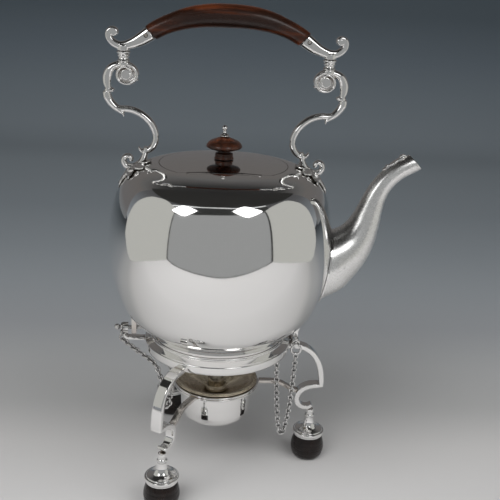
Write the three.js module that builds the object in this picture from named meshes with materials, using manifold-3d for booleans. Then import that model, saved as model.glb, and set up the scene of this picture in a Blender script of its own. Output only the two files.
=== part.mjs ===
// Spirit kettle on its stand, in millimetres, +Z up, spout towards +X.
// A round polished kettle with a hinged lid and a fixed overhead handle stands in the moulded ring
// of a three-legged stand, over a spirit lamp. It tilts on a pin at the spout side to pour.

import * as THREE from "three";
import { mergeVertices } from "three/addons/utils/BufferGeometryUtils.js";
import Module from "manifold-3d";

const wasm = await Module();
wasm.setup();

// Clearances
const gap = 0.3;
const overrun = 20;

// Feet: a wooden bun on the stud of a turned cap
const bunHeight = 19.3;
const bunRadius = 13.3;
const bunSoleRadius = 9;
// Each row is a share of the radius and of the height
const bunShares = [[0.93, 0.16], [1, 0.44], [0.97, 0.68], [0.87, 0.88], [0.77, 1]];
const studRadius = 2.3;
const studDepth = 10.5;
const footCapRadius = 12.7;
const footCapHeight = 22.6;
const footCapShares = [
  [0.82, 0], [0.9, 0.05], [0.92, 0.14], [1, 0.2], [1, 0.27], [0.88, 0.32], [0.7, 0.38], [0.64, 0.46],
  [0.42, 0.53], [0.28, 0.62], [0.3, 0.74], [0.23, 0.8], [0.23, 1],
];

// Legs, evenly spaced: each is a strap that bends down at the knee, with a scroll below the cusp
const legWidth = 8.5;
const legThickness = 4;
const legReach = 83;
const legDrop = 56.1;
const legTopZ = bunHeight + gap + footCapHeight + legDrop;
// Rows of distance between ring and reach, drop below the leg's top and thickness
const legKneeShares = [
  [0, 0, 1], [0.304, 0, 1], [0.554, -0.045, 1], [0.772, -0.135, 1], [0.922, -0.275, 1.02],
  [0.994, -0.43, 1.02], [1, -0.6, 0.6],
];
// Rows of distance out from the reach, drop below the leg's top, both by the drop, and thickness
const legScrollShares = [
  [0.0385, -0.6, 0.4], [-0.1036, -0.607, 0.9], [-0.2367, -0.65, 1], [-0.3151, -0.745, 1.02],
  [-0.3226, -0.86, 1.02], [-0.2663, -0.943, 1], [-0.17, -0.965, 0.9], [-0.1036, -0.93, 0.5],
];
const legPlaces = ["spout_side", "back", "front"];
const footInsetShare = 0.1212;
const footCircle = legReach - footInsetShare * legDrop;
const bracketWidth = 5;
const bracketThickness = 3;
// Rows of distance from the lamp ring out to the leg, and rise
const bracketShares = [
  [1, 0], [0.86, 0.14], [0.68, 0.55], [0.5, 0.9], [0.28, 1], [0, 1],
];

// Driving dimensions of the kettle body, which sits down inside the stand's ring
const bodyRadius = 82;
const bodyHeight = 132.6;
const bodyBaseRadius = 40;
const bodyWall = 1.2;
const bodyProfileShares = [
  [0.573, 0.0189], [0.671, 0.049], [0.756, 0.083], [0.829, 0.128], [0.885, 0.185], [0.934, 0.265],
  [0.976, 0.358], [0.996, 0.445], [1, 0.528], [0.991, 0.618], [0.971, 0.707], [0.939, 0.788],
  [0.898, 0.854], [0.841, 0.906], [0.762, 0.943], [0.659, 0.9645], [0.561, 0.9753], [0.366, 0.9882],
  [0.183, 0.997], [0, 1],
];

// Stand ring, sized to the body that it carries
const ringLegSink = 1.1;
const ringHeight = 15.9;
const ringWidth = 10.7;
const bodyRise = 13.8;
const ringInnerShare = 0.5512;
// Rows out from the inner wall and up from the underside: rim, sloping flange, bead and hollow
const ringShares = [
  [0.505, 0.006], [0.804, 0.063], [0.935, 0.107], [1, 0.189], [1, 0.478], [0.953, 0.522], [0.879, 0.541],
  [0.654, 0.673], [0.607, 0.711], [0.626, 0.748], [0.589, 0.792], [0.505, 0.811], [0.43, 0.799],
  [0.318, 0.843], [0.252, 0.906], [0.168, 1],
];
const ringArmShare = 0.7477;
const ringUndersideZ = legTopZ - ringLegSink;
const ringCrestZ = ringUndersideZ + ringHeight;
const ringInnerRadius = ringInnerShare * bodyRadius;
const ringOuterRadius = ringInnerRadius + ringWidth;
const ringArmR = ringInnerRadius + ringArmShare * ringWidth;
const bodyBaseZ = ringUndersideZ + bodyRise;

// Lid and its flush hinge
const lidRadius = 46;
const lidChordInset = 10;
const lidChord = lidRadius - lidChordInset;
const lidBarrelRadius = 1.7;
const lidBarrelLength = 50;
const lidKnuckleLength = 23.8;
const lidPinRadius = 0.75;
const lidPinPlay = 0.05;
const lidSwingRoom = 1.2;
const lidEdgeRoom = 0.6;
const lidTabReach = 6;
const lidTabThickness = 1.3;
const lidSeatWidth = 5.5;
const lidSeatThickness = 1.5;
const lidSeatOverlap = 2.2;

// Lid knob
const knobNeckRadius = 6.5;
const knobNeckHeight = 5.7;
const knobNeckShares = [[1, 0], [1, 0.3], [0.86, 0.42], [1, 0.55], [1, 1]];
const knobCapRadius = 12.9;
const knobCapHeight = 9.8;
const knobCapShares = [
  [0.62, 0], [0.93, 0.16], [1, 0.34], [0.93, 0.56], [0.7, 0.8], [0.42, 0.95], [0.28, 1],
];
const knobBoltRadius = 1.5;
const finialRadius = 3.4;
const finialHeight = 8;
const finialShares = [
  [1, 0], [0.9, 0.14], [0.36, 0.34], [0.3, 0.52], [0.52, 0.66], [0.56, 0.8], [0.36, 0.95], [0, 1],
];
const knobNutRadius = 4;
const knobNutHeight = 2;
const nutSides = 6;

// Spout
const spoutBaseRadius = 23.4;
const spoutReach = 57;
const spoutRise = 76;
const spoutStandOut = 0.2;
const spoutStartShare = 0.448;
const spoutStartX = bodyRadius + spoutStandOut;
const spoutStartZ = bodyBaseZ + spoutStartShare * bodyHeight;
const spoutWall = 1.2;
const spoutCollarWidth = 2;
const spoutCollarHeight = 1.2;
const spoutMouthTurn = 0.3;
// Each row is x, z and radius
const spoutShares = [
  [-0.53, -0.245, 0.94], [-0.22, -0.1, 1.03], [0, 0, 1], [0.19, 0.105, 0.8], [0.32, 0.222, 0.63],
  [0.41, 0.374, 0.5], [0.467, 0.52, 0.41], [0.523, 0.662, 0.345], [0.617, 0.79, 0.308], [0.76, 0.898, 0.3],
  [0.9, 0.96, 0.3], [1, 1, 0.305],
];
const spoutLeafWidth = 5;
const spoutLeafLength = 18;
const spoutLeafPlaceShares = [-0.5, -0.333];
const spoutLeafShares = [
  [-0.05, -0.02, 0.04], [0.1, 0.17, 0.08], [0.36, 0.3, 0.09], [0.62, 0.42, 0.085], [0.9, 0.63, 0.05],
];

// Overhead handle: neck line of each side, scroll, collar, socket and wooden grip
const neckInset = 11.1;
const neckX = bodyRadius - neckInset;
const scrollHeight = 71;
const scrollWidth = 6;
const scrollStandShare = 1.0311;
const voluteSteps = 12;
const voluteTurns = 1.25;
const voluteInnerShare = 0.026;
const voluteOuterShare = 0.083;
const voluteThicknessShare = 0.02;
const voluteCentreShares = [-0.018, -0.114];
const scrollTopShare = voluteCentreShares[1] + voluteOuterShare + voluteThicknessShare;
// Rows of x from the neck line, drop below the scroll's top and half thickness
const scrollBandShares = [
  [0.07, -0.042, 0.026], [0.137, -0.079, 0.029], [0.182, -0.163, 0.031], [0.187, -0.256, 0.031],
  [0.176, -0.315, 0.022],
];
const scrollShoulderShares = [
  [0.193, -0.277, 0.014], [0.173, -0.348, 0.03], [0.122, -0.422, 0.031], [0.063, -0.476, 0.029],
  [0.021, -0.524, 0.021], [0, -0.572, 0.008],
];
const scrollSpurShares = [
  [0.184, -0.29, 0.02], [0.139, -0.308, 0.02], [0.108, -0.296, 0.014], [0.096, -0.266, 0.007],
];
const scrollBellyShares = [
  [0.052, -0.515, 0.017], [-0.013, -0.493, 0.027], [-0.104, -0.487, 0.03], [-0.203, -0.538, 0.031],
  [-0.277, -0.622, 0.031], [-0.31, -0.718, 0.031], [-0.28, -0.811, 0.029], [-0.215, -0.863, 0.025],
  [-0.173, -0.872, 0.017], [-0.151, -0.839, 0.007],
];
const scrollStemShares = [
  [-0.218, -0.839, 0.017], [-0.193, -0.907, 0.024], [-0.151, -0.977, 0.025], [-0.103, -1.018, 0.027],
  [-0.038, -1.034, 0.025], [0.013, -0.997, 0.022], [0.01, -0.944, 0.02], [-0.032, -0.924, 0.017],
  [-0.065, -0.949, 0.014], [-0.049, -0.98, 0.011],
];
const scrollLeafShares = [
  [-0.05, -0.2, 0.02], [-0.1, -0.185, 0.016], [-0.15, -0.14, 0.006],
];
const handleFootThickness = 1.9;
const handleFootRadius = 11.5;
const handleFootLobeShare = 0.22;
const handleFootLobes = 7;
const handleFootStretchShares = [0.86, 1.5];
const handleFootInsetShare = 0.1042;
const handleFootX = neckX - handleFootInsetShare * scrollHeight;
const collarRadius = 4.3;
const collarHeight = 7.18;
const collarShares = [[0.85, 0], [0.78, 0.16], [0.92, 0.4], [0.78, 0.55], [1, 0.66], [1, 0.92], [0.7, 1]];
const socketWidth = 9;
const socketLength = 30;
const socketShares = [
  [0, 0, 0.168], [0.2, -0.17, 0.15], [0.43, -0.29, 0.115], [0.65, -0.315, 0.085], [0.86, -0.26, 0.07],
  [0.985, -0.125, 0.062], [0.965, 0.02, 0.055], [0.87, 0.045, 0.05], [0.815, -0.02, 0.045],
];
// Where the grip's end lies above and inside the top of the collar
const socketStandShares = [0.6233, 0.4233];
const rivetRadius = 1.2;
const rivetPlaceShare = 0.1;
const gripSpan = neckX - socketStandShares[0] * socketLength;
const gripRise = 13.4;
const gripMidRadius = 8;
const gripEndRadius = 5.05;
const gripBendPower = 2.5;
const gripSteps = 16;

// Pins and lugs between kettle and stand
const pinRadius = 1.5;
const pinPlay = 0.1;
const eyeRadius = 3.3;
const eyeStandOff = 0.8;
const eyeLegRoom = 0.4;
const hingeX = ringOuterRadius + eyeRadius + eyeStandOff;
const hingeZ = legTopZ + legThickness / 2 + eyeRadius + eyeLegRoom;
const kettleEyeWidth = 7.6;
const standEyeWidth = 4.6;
const hingePinTail = 1.2;
const hingePinRingRadius = 3.6;
const hingePinRingWire = 0.9;
const hingePinRingForward = 4.6;
const hingePinShoulderShares = [0.9, 1.6];
const lugArmHeight = 2.8;
// Rows from the pin to the body: out, up and half thickness in eye radii
const lugArmShares = [[0, 0, 0.75], [0.11, 0.32, 0.62], [0.44, 0.64, 0.9], [1, 1, 1.7]];
const lugArmReachShare = 0.9;
const lockRise = 6;
const lockStandOff = 6.1;
const lockPlateThickness = 4;
const lockPlateWidth = 10;
const lockHookDrop = 3.6;
const lockEyeSpacing = 6.6;
const lockPinTail = 3.5;
const lockZ = hingeZ + lockRise;
const lockPlateX = ringOuterRadius + lockPlateThickness / 2 + lockStandOff;
const standLockX = lockPlateX + lockEyeSpacing;
const standLockEyeRadius = 4;
const lockPinTipX = lockPlateX - lockPlateThickness / 2 - lockPinTail;
const lockPinDiscRadius = 3.6;
const lockPinDiscThickness = 1.4;
const lockPinBallRadius = 2.4;
const lockPinBallShares = [[0.92, 0.8], [1, 1.3], [0.7, 2.05], [0, 2.3]];
const lockPinNeckShares = [0.55, 0.4];

// Chains, each hung from its pin to a staple under the ring
const chainLink = 3;
const chainLinkWidth = 3;
const chainWire = 1.1;
const stapleRadius = 2.6;
const stapleWire = 0.8;
const stapleInset = 7.1;
const lockLoopRadius = 1.857;
const hingeStapleAngle = -21.9;
const lockStapleAngle = -135;
const hingeChainDrop = 65.8;
const lockChainDrop = 42.4;
// Rows from pin to staple: along X, along Y, and sag below the pin's end by the chain's drop
const hingeChainShares = [
  [0, 0, 0], [0.054, 0.224, 0.234], [0.163, 0.51, 0.614], [0.34, 0.714, 0.903], [0.517, 0.837, 1],
  [0.694, 0.918, 0.903], [0.857, 0.959, 0.614], [0.952, 1, 0.234],
];
const lockChainShares = [
  [0, 0, 0], [0.111, 0.11, 0.057], [0.343, 0.313, 0.151], [0.549, 0.502, 0.222], [0.704, 0.708, 0.281],
  [0.794, 0.88, 0.41], [0.851, 0.966, 0.646], [0.889, 1.01, 0.906], [0.946, 1.017, 1],
  [0.992, 1.014, 0.882], [1.003, 1.003, 0.552],
];

// Spirit lamp, hung in its ring between the legs
const lampPotRadius = 27.7;
const lampPotHeight = 31.4;
const lampPotPlay = 0.6;
const lampRingWidth = 5;
const lampRingInner = lampPotRadius + lampPotPlay;
const lampRingOuter = lampRingInner + lampRingWidth;
const lampRingPlaceShare = 0.5419;
const lampRingTopZ = legTopZ - lampRingPlaceShare * legDrop;
const lampRingHeight = 3.5;
const lampRingBevel = 0.6;
const lampPotShares = [[0.45, 0], [0.74, 0.07], [0.91, 0.2], [0.985, 0.38], [1, 0.55], [1, 1]];
const lampPotSlopeShare = 0.6;
const lampWall = 1;
const lampRimInset = 1;
const lampRimRadius = lampRingOuter - lampRimInset;
const lampRimHeight = 2.4;
const lampRimShares = [[0.96, 0], [1, 0.35], [1, 0.7], [0.975, 1], [0.93, 1], [0.9, 0.5]];
const lampDishDepth = 11.6;
const lampDishShares = [[0.8, 0.55], [0.72, 0.42]];
const wickTubeRadius = 6;
const wickTubeHeight = 9.3;
const wickTubeSpigot = 6;
const wickTubeWall = 0.8;
const wickCollarOut = 2.6;
const wickCollarRadius = wickTubeRadius + wickCollarOut;
const wickCollarHeight = 2.4;
const wickCollarSlopeShare = 1.3;
const wickTopShare = 0.7;
const wickRise = 2.4;

// Facet counts
const bodySides = 36;
const wheelSides = 28;
const smallSides = 16;
const pinSides = 12;
const footSides = 16;
const linkSides = 4;
const ringSteps = 12;
const wireSides = 6;
const bodyProfileSteps = 16;
const ribbonStep = 4.2;

const silver = { color: 0xc8c8c6, roughness: 0.08, metalness: 1 };
const agedSilver = { color: 0xa8a49a, roughness: 0.25, metalness: 1 };
const wood = { color: 0x3c1a12, roughness: 0.35, metalness: 0 };
const darkWood = { color: 0x1c1210, roughness: 0.4, metalness: 0 };
const cotton = { color: 0xd8d0be, roughness: 0.95, metalness: 0 };

const kettleOnStand = new THREE.Group();

// Geometry helpers

function vertexOf(geometry, index) {
  return new THREE.Vector3().fromBufferAttribute(geometry.attributes.position, index);
}

function cleaned(geometry) {
  const bare = new THREE.BufferGeometry();
  bare.setAttribute("position", geometry.attributes.position.clone());
  bare.setIndex(geometry.index ? geometry.index.clone() : null);
  const merged = mergeVertices(bare, 1e-4);
  const kept = [];
  let volume = 0;
  for (let i = 0; i < merged.index.count; i += 3) {
    const [a, b, c] = [0, 1, 2].map((k) => merged.index.getX(i + k));
    if (a === b || b === c || c === a) continue;
    kept.push(a, b, c);
    const [p, q, r] = [a, b, c].map((k) => vertexOf(merged, k));
    volume += p.dot(q.cross(r));
  }
  if (volume < 0) kept.reverse();
  merged.setIndex(kept);
  return merged;
}

function toSolid(geometry) {
  const bare = cleaned(geometry);
  const vertProperties = new Float32Array(bare.attributes.position.array);
  const triVerts = new Uint32Array(bare.index.array);
  return new wasm.Manifold(new wasm.Mesh({ numProp: 3, vertProperties, triVerts }));
}

function toGeometry(solid) {
  const mesh = solid.getMesh();
  const geometry = new THREE.BufferGeometry();
  geometry.setAttribute("position", new THREE.BufferAttribute(new Float32Array(mesh.vertProperties), 3));
  geometry.setIndex(new THREE.BufferAttribute(new Uint32Array(mesh.triVerts), 1));
  return geometry;
}

function addPart(name, shape, finish) {
  const geometry = shape.isBufferGeometry ? cleaned(shape) : toGeometry(shape);
  const mesh = new THREE.Mesh(geometry, new THREE.MeshStandardMaterial(finish));
  mesh.name = name;
  kettleOnStand.add(mesh);
}

// A profile of [radius, z] points turned about the Z axis
function turned(profile, sides) {
  const points = profile.map(([r, z]) => new THREE.Vector2(r, z));
  return new THREE.LatheGeometry(points, sides).rotateX(Math.PI / 2);
}

function ringed(profile, sides) {
  return turned([...profile, profile[0]], sides);
}

// Rows of a share of the radius and of the height, as points that start at base
function scaled(shares, radius, base, height) {
  return shares.map(([r, z]) => [r * radius, base + z * height]);
}

function box(xLow, xHigh, yLow, yHigh, zLow, zHigh) {
  const geometry = new THREE.BoxGeometry(xHigh - xLow, yHigh - yLow, zHigh - zLow);
  return geometry.translate((xLow + xHigh) / 2, (yLow + yHigh) / 2, (zLow + zHigh) / 2);
}

// Rings of points joined one to the next, with flat ends, or with the last joined to the first
function loft(rings, closed) {
  const count = rings[0].length;
  const positions = rings.flat().flatMap((p) => [p.x, p.y, p.z]);
  const index = [];
  const last = closed ? rings.length : rings.length - 1;
  for (let i = 0; i < last; i++) {
    const here = i * count;
    const there = ((i + 1) % rings.length) * count;
    for (let k = 0; k < count; k++) {
      const next = (k + 1) % count;
      index.push(here + k, here + next, there + next, here + k, there + next, there + k);
    }
  }
  if (!closed) {
    const end = (rings.length - 1) * count;
    for (let k = 1; k < count - 1; k++) {
      index.push(0, k + 1, k, end, end + k, end + k + 1);
    }
  }
  const geometry = new THREE.BufferGeometry();
  geometry.setAttribute("position", new THREE.Float32BufferAttribute(positions, 3));
  geometry.setIndex(index);
  return geometry;
}

// A round section of a tube that runs in the XZ plane, square to the direction turn
function sectionRing(x, z, radius, turn, sides) {
  const ring = [];
  for (let k = 0; k < sides; k++) {
    const angle = (2 * Math.PI * k) / sides;
    const side = radius * Math.sin(angle);
    const across = radius * Math.cos(angle);
    ring.push(new THREE.Vector3(x - across * Math.sin(turn), side, z + across * Math.cos(turn)));
  }
  return ring;
}

// A flat strip in the XZ plane: [x, z, half thickness] stations, extruded by width along Y
function ribbon(stations, width) {
  const curve = new THREE.CatmullRomCurve3(
    stations.map(([x, z, t]) => new THREE.Vector3(x, z, t)), false, "centripetal");
  const count = Math.max(stations.length, Math.ceil(curve.getLength() / ribbonStep)) + 1;
  const rings = [];
  for (let i = 0; i < count; i++) {
    const share = i / (count - 1);
    const p = curve.getPointAt(share);
    const tangent = curve.getTangentAt(share);
    const across = new THREE.Vector2(-tangent.y, tangent.x).normalize().multiplyScalar(p.z);
    const half = width / 2;
    rings.push([
      new THREE.Vector3(p.x + across.x, -half, p.y + across.y),
      new THREE.Vector3(p.x - across.x, -half, p.y - across.y),
      new THREE.Vector3(p.x - across.x, half, p.y - across.y),
      new THREE.Vector3(p.x + across.x, half, p.y + across.y),
    ]);
  }
  return toSolid(loft(rings, false));
}

function cylinderAlong(axis, radius, length, sides) {
  const geometry = new THREE.CylinderGeometry(radius, radius, length, sides);
  if (axis === "x") geometry.rotateZ(Math.PI / 2);
  if (axis === "z") geometry.rotateX(Math.PI / 2);
  return geometry;
}

function mirrored(solid) {
  return solid.mirror([1, 0, 0]);
}

// Kettle body

function bodyProfile() {
  const points = bodyProfileShares.map(
    ([r, z]) => new THREE.Vector2(r * bodyRadius, bodyBaseZ + z * bodyHeight));
  return new THREE.SplineCurve([new THREE.Vector2(bodyBaseRadius, bodyBaseZ), ...points])
    .getPoints(bodyProfileSteps);
}

// Each point of an outline moved by distance, square to the line through its two neighbours
function movedOut(points, distance) {
  return points.map((p, i) => {
    const before = points[Math.max(i - 1, 0)];
    const after = points[Math.min(i + 1, points.length - 1)];
    const along = after.clone().sub(before).normalize();
    return [p.x + along.y * distance, p.y - along.x * distance];
  });
}

// The outer surface of the body moved outwards by distance, as a full solid of revolution
function bodyEnvelope(distance) {
  const moved = movedOut(bodyProfile(), distance);
  moved[0] = [bodyBaseRadius, bodyBaseZ - distance];
  moved[moved.length - 1] = [0, bodyBaseZ + bodyHeight + distance];
  return toSolid(turned([[0, bodyBaseZ - distance], ...moved], bodySides));
}

function heightAt(points, radius) {
  const after = points.findIndex((p) => p.x >= radius);
  const [a, b] = [points[after - 1], points[after]];
  return a.y + ((radius - a.x) / (b.x - a.x)) * (b.y - a.y);
}

// The body's outer surface over its shoulder, and under its belly
function surfaceZ(radius) {
  return heightAt(bodyProfile().reverse(), radius);
}

function bellyZ(radius) {
  return heightAt(bodyProfile(), radius);
}

const bodyOuter = bodyEnvelope(0);
const bodyInner = bodyEnvelope(-bodyWall);
const bodyClear = bodyEnvelope(gap);

// A round hole or disc with a straight edge on the hinge side
function lidPrism(radius, edge) {
  const shape = new THREE.Shape();
  const turn = Math.asin(edge / radius);
  shape.absarc(0, 0, radius, -turn, Math.PI + turn, false);
  shape.closePath();
  const depth = bodyHeight;
  const geometry = new THREE.ExtrudeGeometry(shape, { depth, bevelEnabled: false, curveSegments: bodySides });
  return toSolid(geometry.translate(0, 0, bodyBaseZ + bodyHeight / 2));
}

const hingeSurfaceZ = surfaceZ(lidChord);
const barrelZ = hingeSurfaceZ - lidBarrelRadius + gap / 2;
const lidEdge = lidChord - lidBarrelRadius - gap;

function spoutRings(extra) {
  const rows = spoutShares.map(
    ([x, z, r]) => [spoutStartX + x * spoutReach, spoutStartZ + z * spoutRise, r * spoutBaseRadius + extra]);
  return rows.map(([x, z, r], i) => {
    const before = rows[Math.max(i - 1, 0)];
    const after = rows[Math.min(i + 1, rows.length - 1)];
    const turn = Math.atan2(after[1] - before[1], after[0] - before[0]);
    const last = i === rows.length - 1;
    return sectionRing(x, z, r, last ? turn + spoutMouthTurn : turn, smallSides);
  });
}

function spoutBore() {
  const rings = spoutRings(-spoutWall);
  const end = rings[rings.length - 1];
  const start = rings[rings.length - 2];
  const beyond = end.map((p, k) => p.clone().add(p.clone().sub(start[k]).setLength(overrun / 4)));
  return toSolid(loft([...rings, beyond], false));
}

function makeBody() {
  const slot = box(
    -lidBarrelLength / 2 - gap, lidBarrelLength / 2 + gap,
    -lidChord - lidBarrelRadius - lidSwingRoom, -lidEdge,
    bodyBaseZ + bodyHeight / 2, bodyBaseZ + bodyHeight + overrun);
  const body = bodyOuter
    .subtract(bodyInner)
    .subtract(lidPrism(lidRadius + gap, lidEdge + lidEdgeRoom))
    .subtract(toSolid(slot))
    .subtract(spoutBore());
  addPart("kettle_body", body, silver);
}

function makeLidSeat() {
  const inner = lidRadius - lidSeatWidth + lidSeatOverlap;
  const outer = lidRadius + lidSeatOverlap;
  const under = bodyWall + gap;
  const ledge = [
    [inner, surfaceZ(inner) - under - lidSeatThickness], [outer, surfaceZ(outer) - under - lidSeatThickness],
    [outer, surfaceZ(outer) - under], [inner, surfaceZ(inner) - under],
  ];
  const halfHinge = lidBarrelLength / 2 + 2 * gap;
  const hingeRoom = box(
    -halfHinge, halfHinge, -lidRadius - overrun, -lidEdge + lidTabReach + gap,
    bodyBaseZ, bodyBaseZ + 2 * bodyHeight);
  addPart("lid_seat", toSolid(ringed(ledge, bodySides)).subtract(toSolid(hingeRoom)), agedSilver);
}

// One knuckle of the flush hinge: a barrel with a leaf under the plate that it carries
function hingeKnuckle(xLow, xHigh, side) {
  const barrel = cylinderAlong("x", lidBarrelRadius, xHigh - xLow, pinSides)
    .translate((xLow + xHigh) / 2, -lidChord, barrelZ);
  const far = -lidChord + side * lidTabReach;
  const leafRoom = box(
    xLow, xHigh, Math.min(-lidChord, far), Math.max(-lidChord, far), bodyBaseZ + bodyHeight / 2,
    bodyBaseZ + bodyHeight);
  const leaf = bodyEnvelope(-bodyWall - gap)
    .subtract(bodyEnvelope(-bodyWall - gap - lidTabThickness))
    .intersect(toSolid(leafRoom));
  const bore = cylinderAlong("x", lidPinRadius + lidPinPlay, lidBarrelLength + overrun, pinSides)
    .translate(0, -lidChord, barrelZ);
  return toSolid(barrel).add(leaf).subtract(toSolid(bore));
}

function makeLidHinge() {
  const half = lidKnuckleLength / 2;
  const end = lidBarrelLength / 2;
  addPart("hinge_knuckle_left", hingeKnuckle(-end, -half - gap, -1), silver);
  addPart("hinge_knuckle_right", hingeKnuckle(half + gap, end, -1), silver);
  addPart("lid_knuckle", hingeKnuckle(-half, half, 1), silver);
  const pin = cylinderAlong("x", lidPinRadius, lidBarrelLength, pinSides).translate(0, -lidChord, barrelZ);
  addPart("lid_hinge_pin", pin, agedSilver);
}

function makeLid() {
  const boltHole = cylinderAlong("z", knobBoltRadius + gap, bodyHeight, smallSides)
    .translate(0, 0, bodyBaseZ + bodyHeight);
  const plate = bodyOuter
    .subtract(bodyInner)
    .intersect(lidPrism(lidRadius, lidEdge))
    .subtract(toSolid(boltHole));
  addPart("lid", plate, silver);
}

function makeKnob() {
  const base = bodyBaseZ + bodyHeight + gap;
  const bore = knobBoltRadius + gap;
  const neckTop = base + knobNeckHeight;
  addPart("knob_neck", ringed([
    [bore, base], ...scaled(knobNeckShares, knobNeckRadius, base, knobNeckHeight), [bore, neckTop],
  ], wheelSides), wood);
  const capBase = neckTop + gap;
  const capTop = capBase + knobCapHeight;
  addPart("knob_cap", ringed([
    [bore, capBase], ...scaled(knobCapShares, knobCapRadius, capBase, knobCapHeight), [bore, capTop],
  ], wheelSides), wood);
  const finialBase = capTop + gap;
  const underLid = bodyBaseZ + bodyHeight - bodyWall - gap;
  const boltEnd = underLid - knobNutHeight - gap;
  addPart("knob_finial", turned([
    [0, boltEnd], [knobBoltRadius, boltEnd], [knobBoltRadius, finialBase],
    ...scaled(finialShares, finialRadius, finialBase, finialHeight),
  ], smallSides), silver);
  const nutBore = bore / Math.cos(Math.PI / nutSides);
  addPart("knob_nut", ringed([
    [nutBore, underLid - knobNutHeight], [knobNutRadius, underLid - knobNutHeight],
    [knobNutRadius, underLid], [nutBore, underLid],
  ], nutSides), agedSilver);
}

function makeSpout() {
  const outer = toSolid(loft(spoutRings(0), false));
  const spout = outer.subtract(bodyClear).subtract(spoutBore());
  addPart("spout", spout, silver);
  const wide = toSolid(loft(spoutRings(spoutCollarWidth), false));
  const narrow = toSolid(loft(spoutRings(gap), false));
  const band = bodyEnvelope(spoutCollarHeight + gap).subtract(bodyClear);
  addPart("spout_collar", largestPiece(band.intersect(wide).subtract(narrow).subtract(outer)), silver);
  const leafRow = spoutShares[spoutShares.length - 3];
  const leafX = spoutStartX + leafRow[0] * spoutReach + spoutLeafPlaceShares[0] * spoutLeafLength;
  const leafTop = spoutStartZ + leafRow[1] * spoutRise + leafRow[2] * spoutBaseRadius;
  const leafZ = leafTop + spoutLeafPlaceShares[1] * spoutLeafLength;
  const leafRows = spoutLeafShares.map(
    ([x, z, t]) => [leafX + x * spoutLeafLength, leafZ + z * spoutLeafLength, t * spoutLeafLength]);
  const leaf = ribbon(leafRows, spoutLeafWidth);
  addPart("spout_leaf", largestPiece(leaf.subtract(narrow)), silver);
}

// Handle, which stands on the shoulder: its heights follow the body's surface

const scrollTopZ = surfaceZ(handleFootX) + scrollStandShare * scrollHeight;
const gripTopZ = scrollTopZ + gap + collarHeight + socketStandShares[1] * socketLength + gripRise;

function scrollStations(shares) {
  return shares.map(([x, z, t]) => [
    neckX + x * scrollHeight, scrollTopZ + (z - scrollTopShare) * scrollHeight, t * scrollHeight,
  ]);
}

function voluteShares() {
  const rows = [];
  for (let i = 0; i <= voluteSteps; i++) {
    const share = i / voluteSteps;
    const angle = Math.PI / 2 + (1 - share) * voluteTurns * 2 * Math.PI;
    const reach = voluteInnerShare + (voluteOuterShare - voluteInnerShare) * share;
    rows.push([
      voluteCentreShares[0] + reach * Math.cos(angle), voluteCentreShares[1] + reach * Math.sin(angle),
      voluteThicknessShare,
    ]);
  }
  return rows;
}

function handleScroll() {
  const strips = [
    [...voluteShares(), ...scrollBandShares], scrollShoulderShares, scrollSpurShares, scrollBellyShares,
    scrollStemShares, scrollLeafShares,
  ];
  const joined = strips
    .map((shares) => ribbon(scrollStations(shares), scrollWidth))
    .reduce((whole, strip) => whole.add(strip));
  return largestPiece(joined.subtract(bodyEnvelope(handleFootThickness + 2 * gap)));
}

function handleFoot() {
  const shape = new THREE.Shape();
  const steps = 4 * handleFootLobes;
  for (let i = 0; i < steps; i++) {
    const angle = (2 * Math.PI * i) / steps;
    const reach = handleFootRadius * (1 + handleFootLobeShare * Math.cos(handleFootLobes * angle));
    const x = handleFootX + handleFootStretchShares[0] * reach * Math.cos(angle + Math.PI);
    const y = handleFootStretchShares[1] * reach * Math.sin(angle + Math.PI);
    if (i === 0) shape.moveTo(x, y);
    else shape.lineTo(x, y);
  }
  shape.closePath();
  const prism = new THREE.ExtrudeGeometry(shape, { depth: bodyHeight, bevelEnabled: false })
    .translate(0, 0, bodyBaseZ + bodyHeight / 2);
  return largestPiece(bodyEnvelope(handleFootThickness + gap).subtract(bodyClear).intersect(toSolid(prism)));
}

function handleCollar() {
  const base = scrollTopZ + gap;
  return toSolid(turned([
    [0, base], ...scaled(collarShares, collarRadius, base, collarHeight), [0, base + collarHeight],
  ], smallSides).translate(neckX, 0, 0));
}

function gripPoint(x) {
  const out = Math.abs(x / gripSpan);
  const z = gripTopZ - gripRise * out ** gripBendPower;
  const slope = (-Math.sign(x) * gripBendPower * gripRise * out ** (gripBendPower - 1)) / gripSpan;
  return { z, turn: Math.atan(slope) };
}

function makeGrip() {
  const rings = [];
  for (let i = 0; i <= gripSteps; i++) {
    const share = (2 * i) / gripSteps - 1;
    const x = share * gripSpan;
    const { z, turn } = gripPoint(x);
    const radius = gripMidRadius + (gripEndRadius - gripMidRadius) * share * share;
    rings.push(sectionRing(x, z, radius, turn, smallSides));
  }
  addPart("grip", loft(rings, false), wood);
}

function socketStations() {
  const { z, turn } = gripPoint(gripSpan);
  const startX = gripSpan + gap * Math.cos(turn);
  const startZ = z + gap * Math.sin(turn);
  return socketShares.map(
    ([x, drop, t]) => [startX + x * socketLength, startZ + drop * socketLength, t * socketLength]);
}

function rivetPlace() {
  const { z, turn } = gripPoint(gripSpan);
  const along = rivetPlaceShare * socketLength;
  return [gripSpan + along * Math.cos(turn), z + along * Math.sin(turn)];
}

function gripSocket() {
  const { z, turn } = gripPoint(gripSpan);
  const [rivetX, rivetZ] = rivetPlace();
  const hole = cylinderAlong("y", rivetRadius + gap, 2 * socketWidth, pinSides).translate(rivetX, 0, rivetZ);
  const endRoom = box(-overrun, gap, -socketWidth, socketWidth, -overrun, overrun)
    .rotateY(-turn)
    .translate(gripSpan, 0, z);
  const collarRoom = box(
    neckX - 2 * collarRadius, neckX + 2 * collarRadius, -socketWidth, socketWidth,
    scrollTopZ - overrun, scrollTopZ + collarHeight + 2 * gap);
  return largestPiece(ribbon(socketStations(), socketWidth)
    .subtract(toSolid(endRoom))
    .subtract(toSolid(collarRoom))
    .subtract(toSolid(hole)));
}

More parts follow.
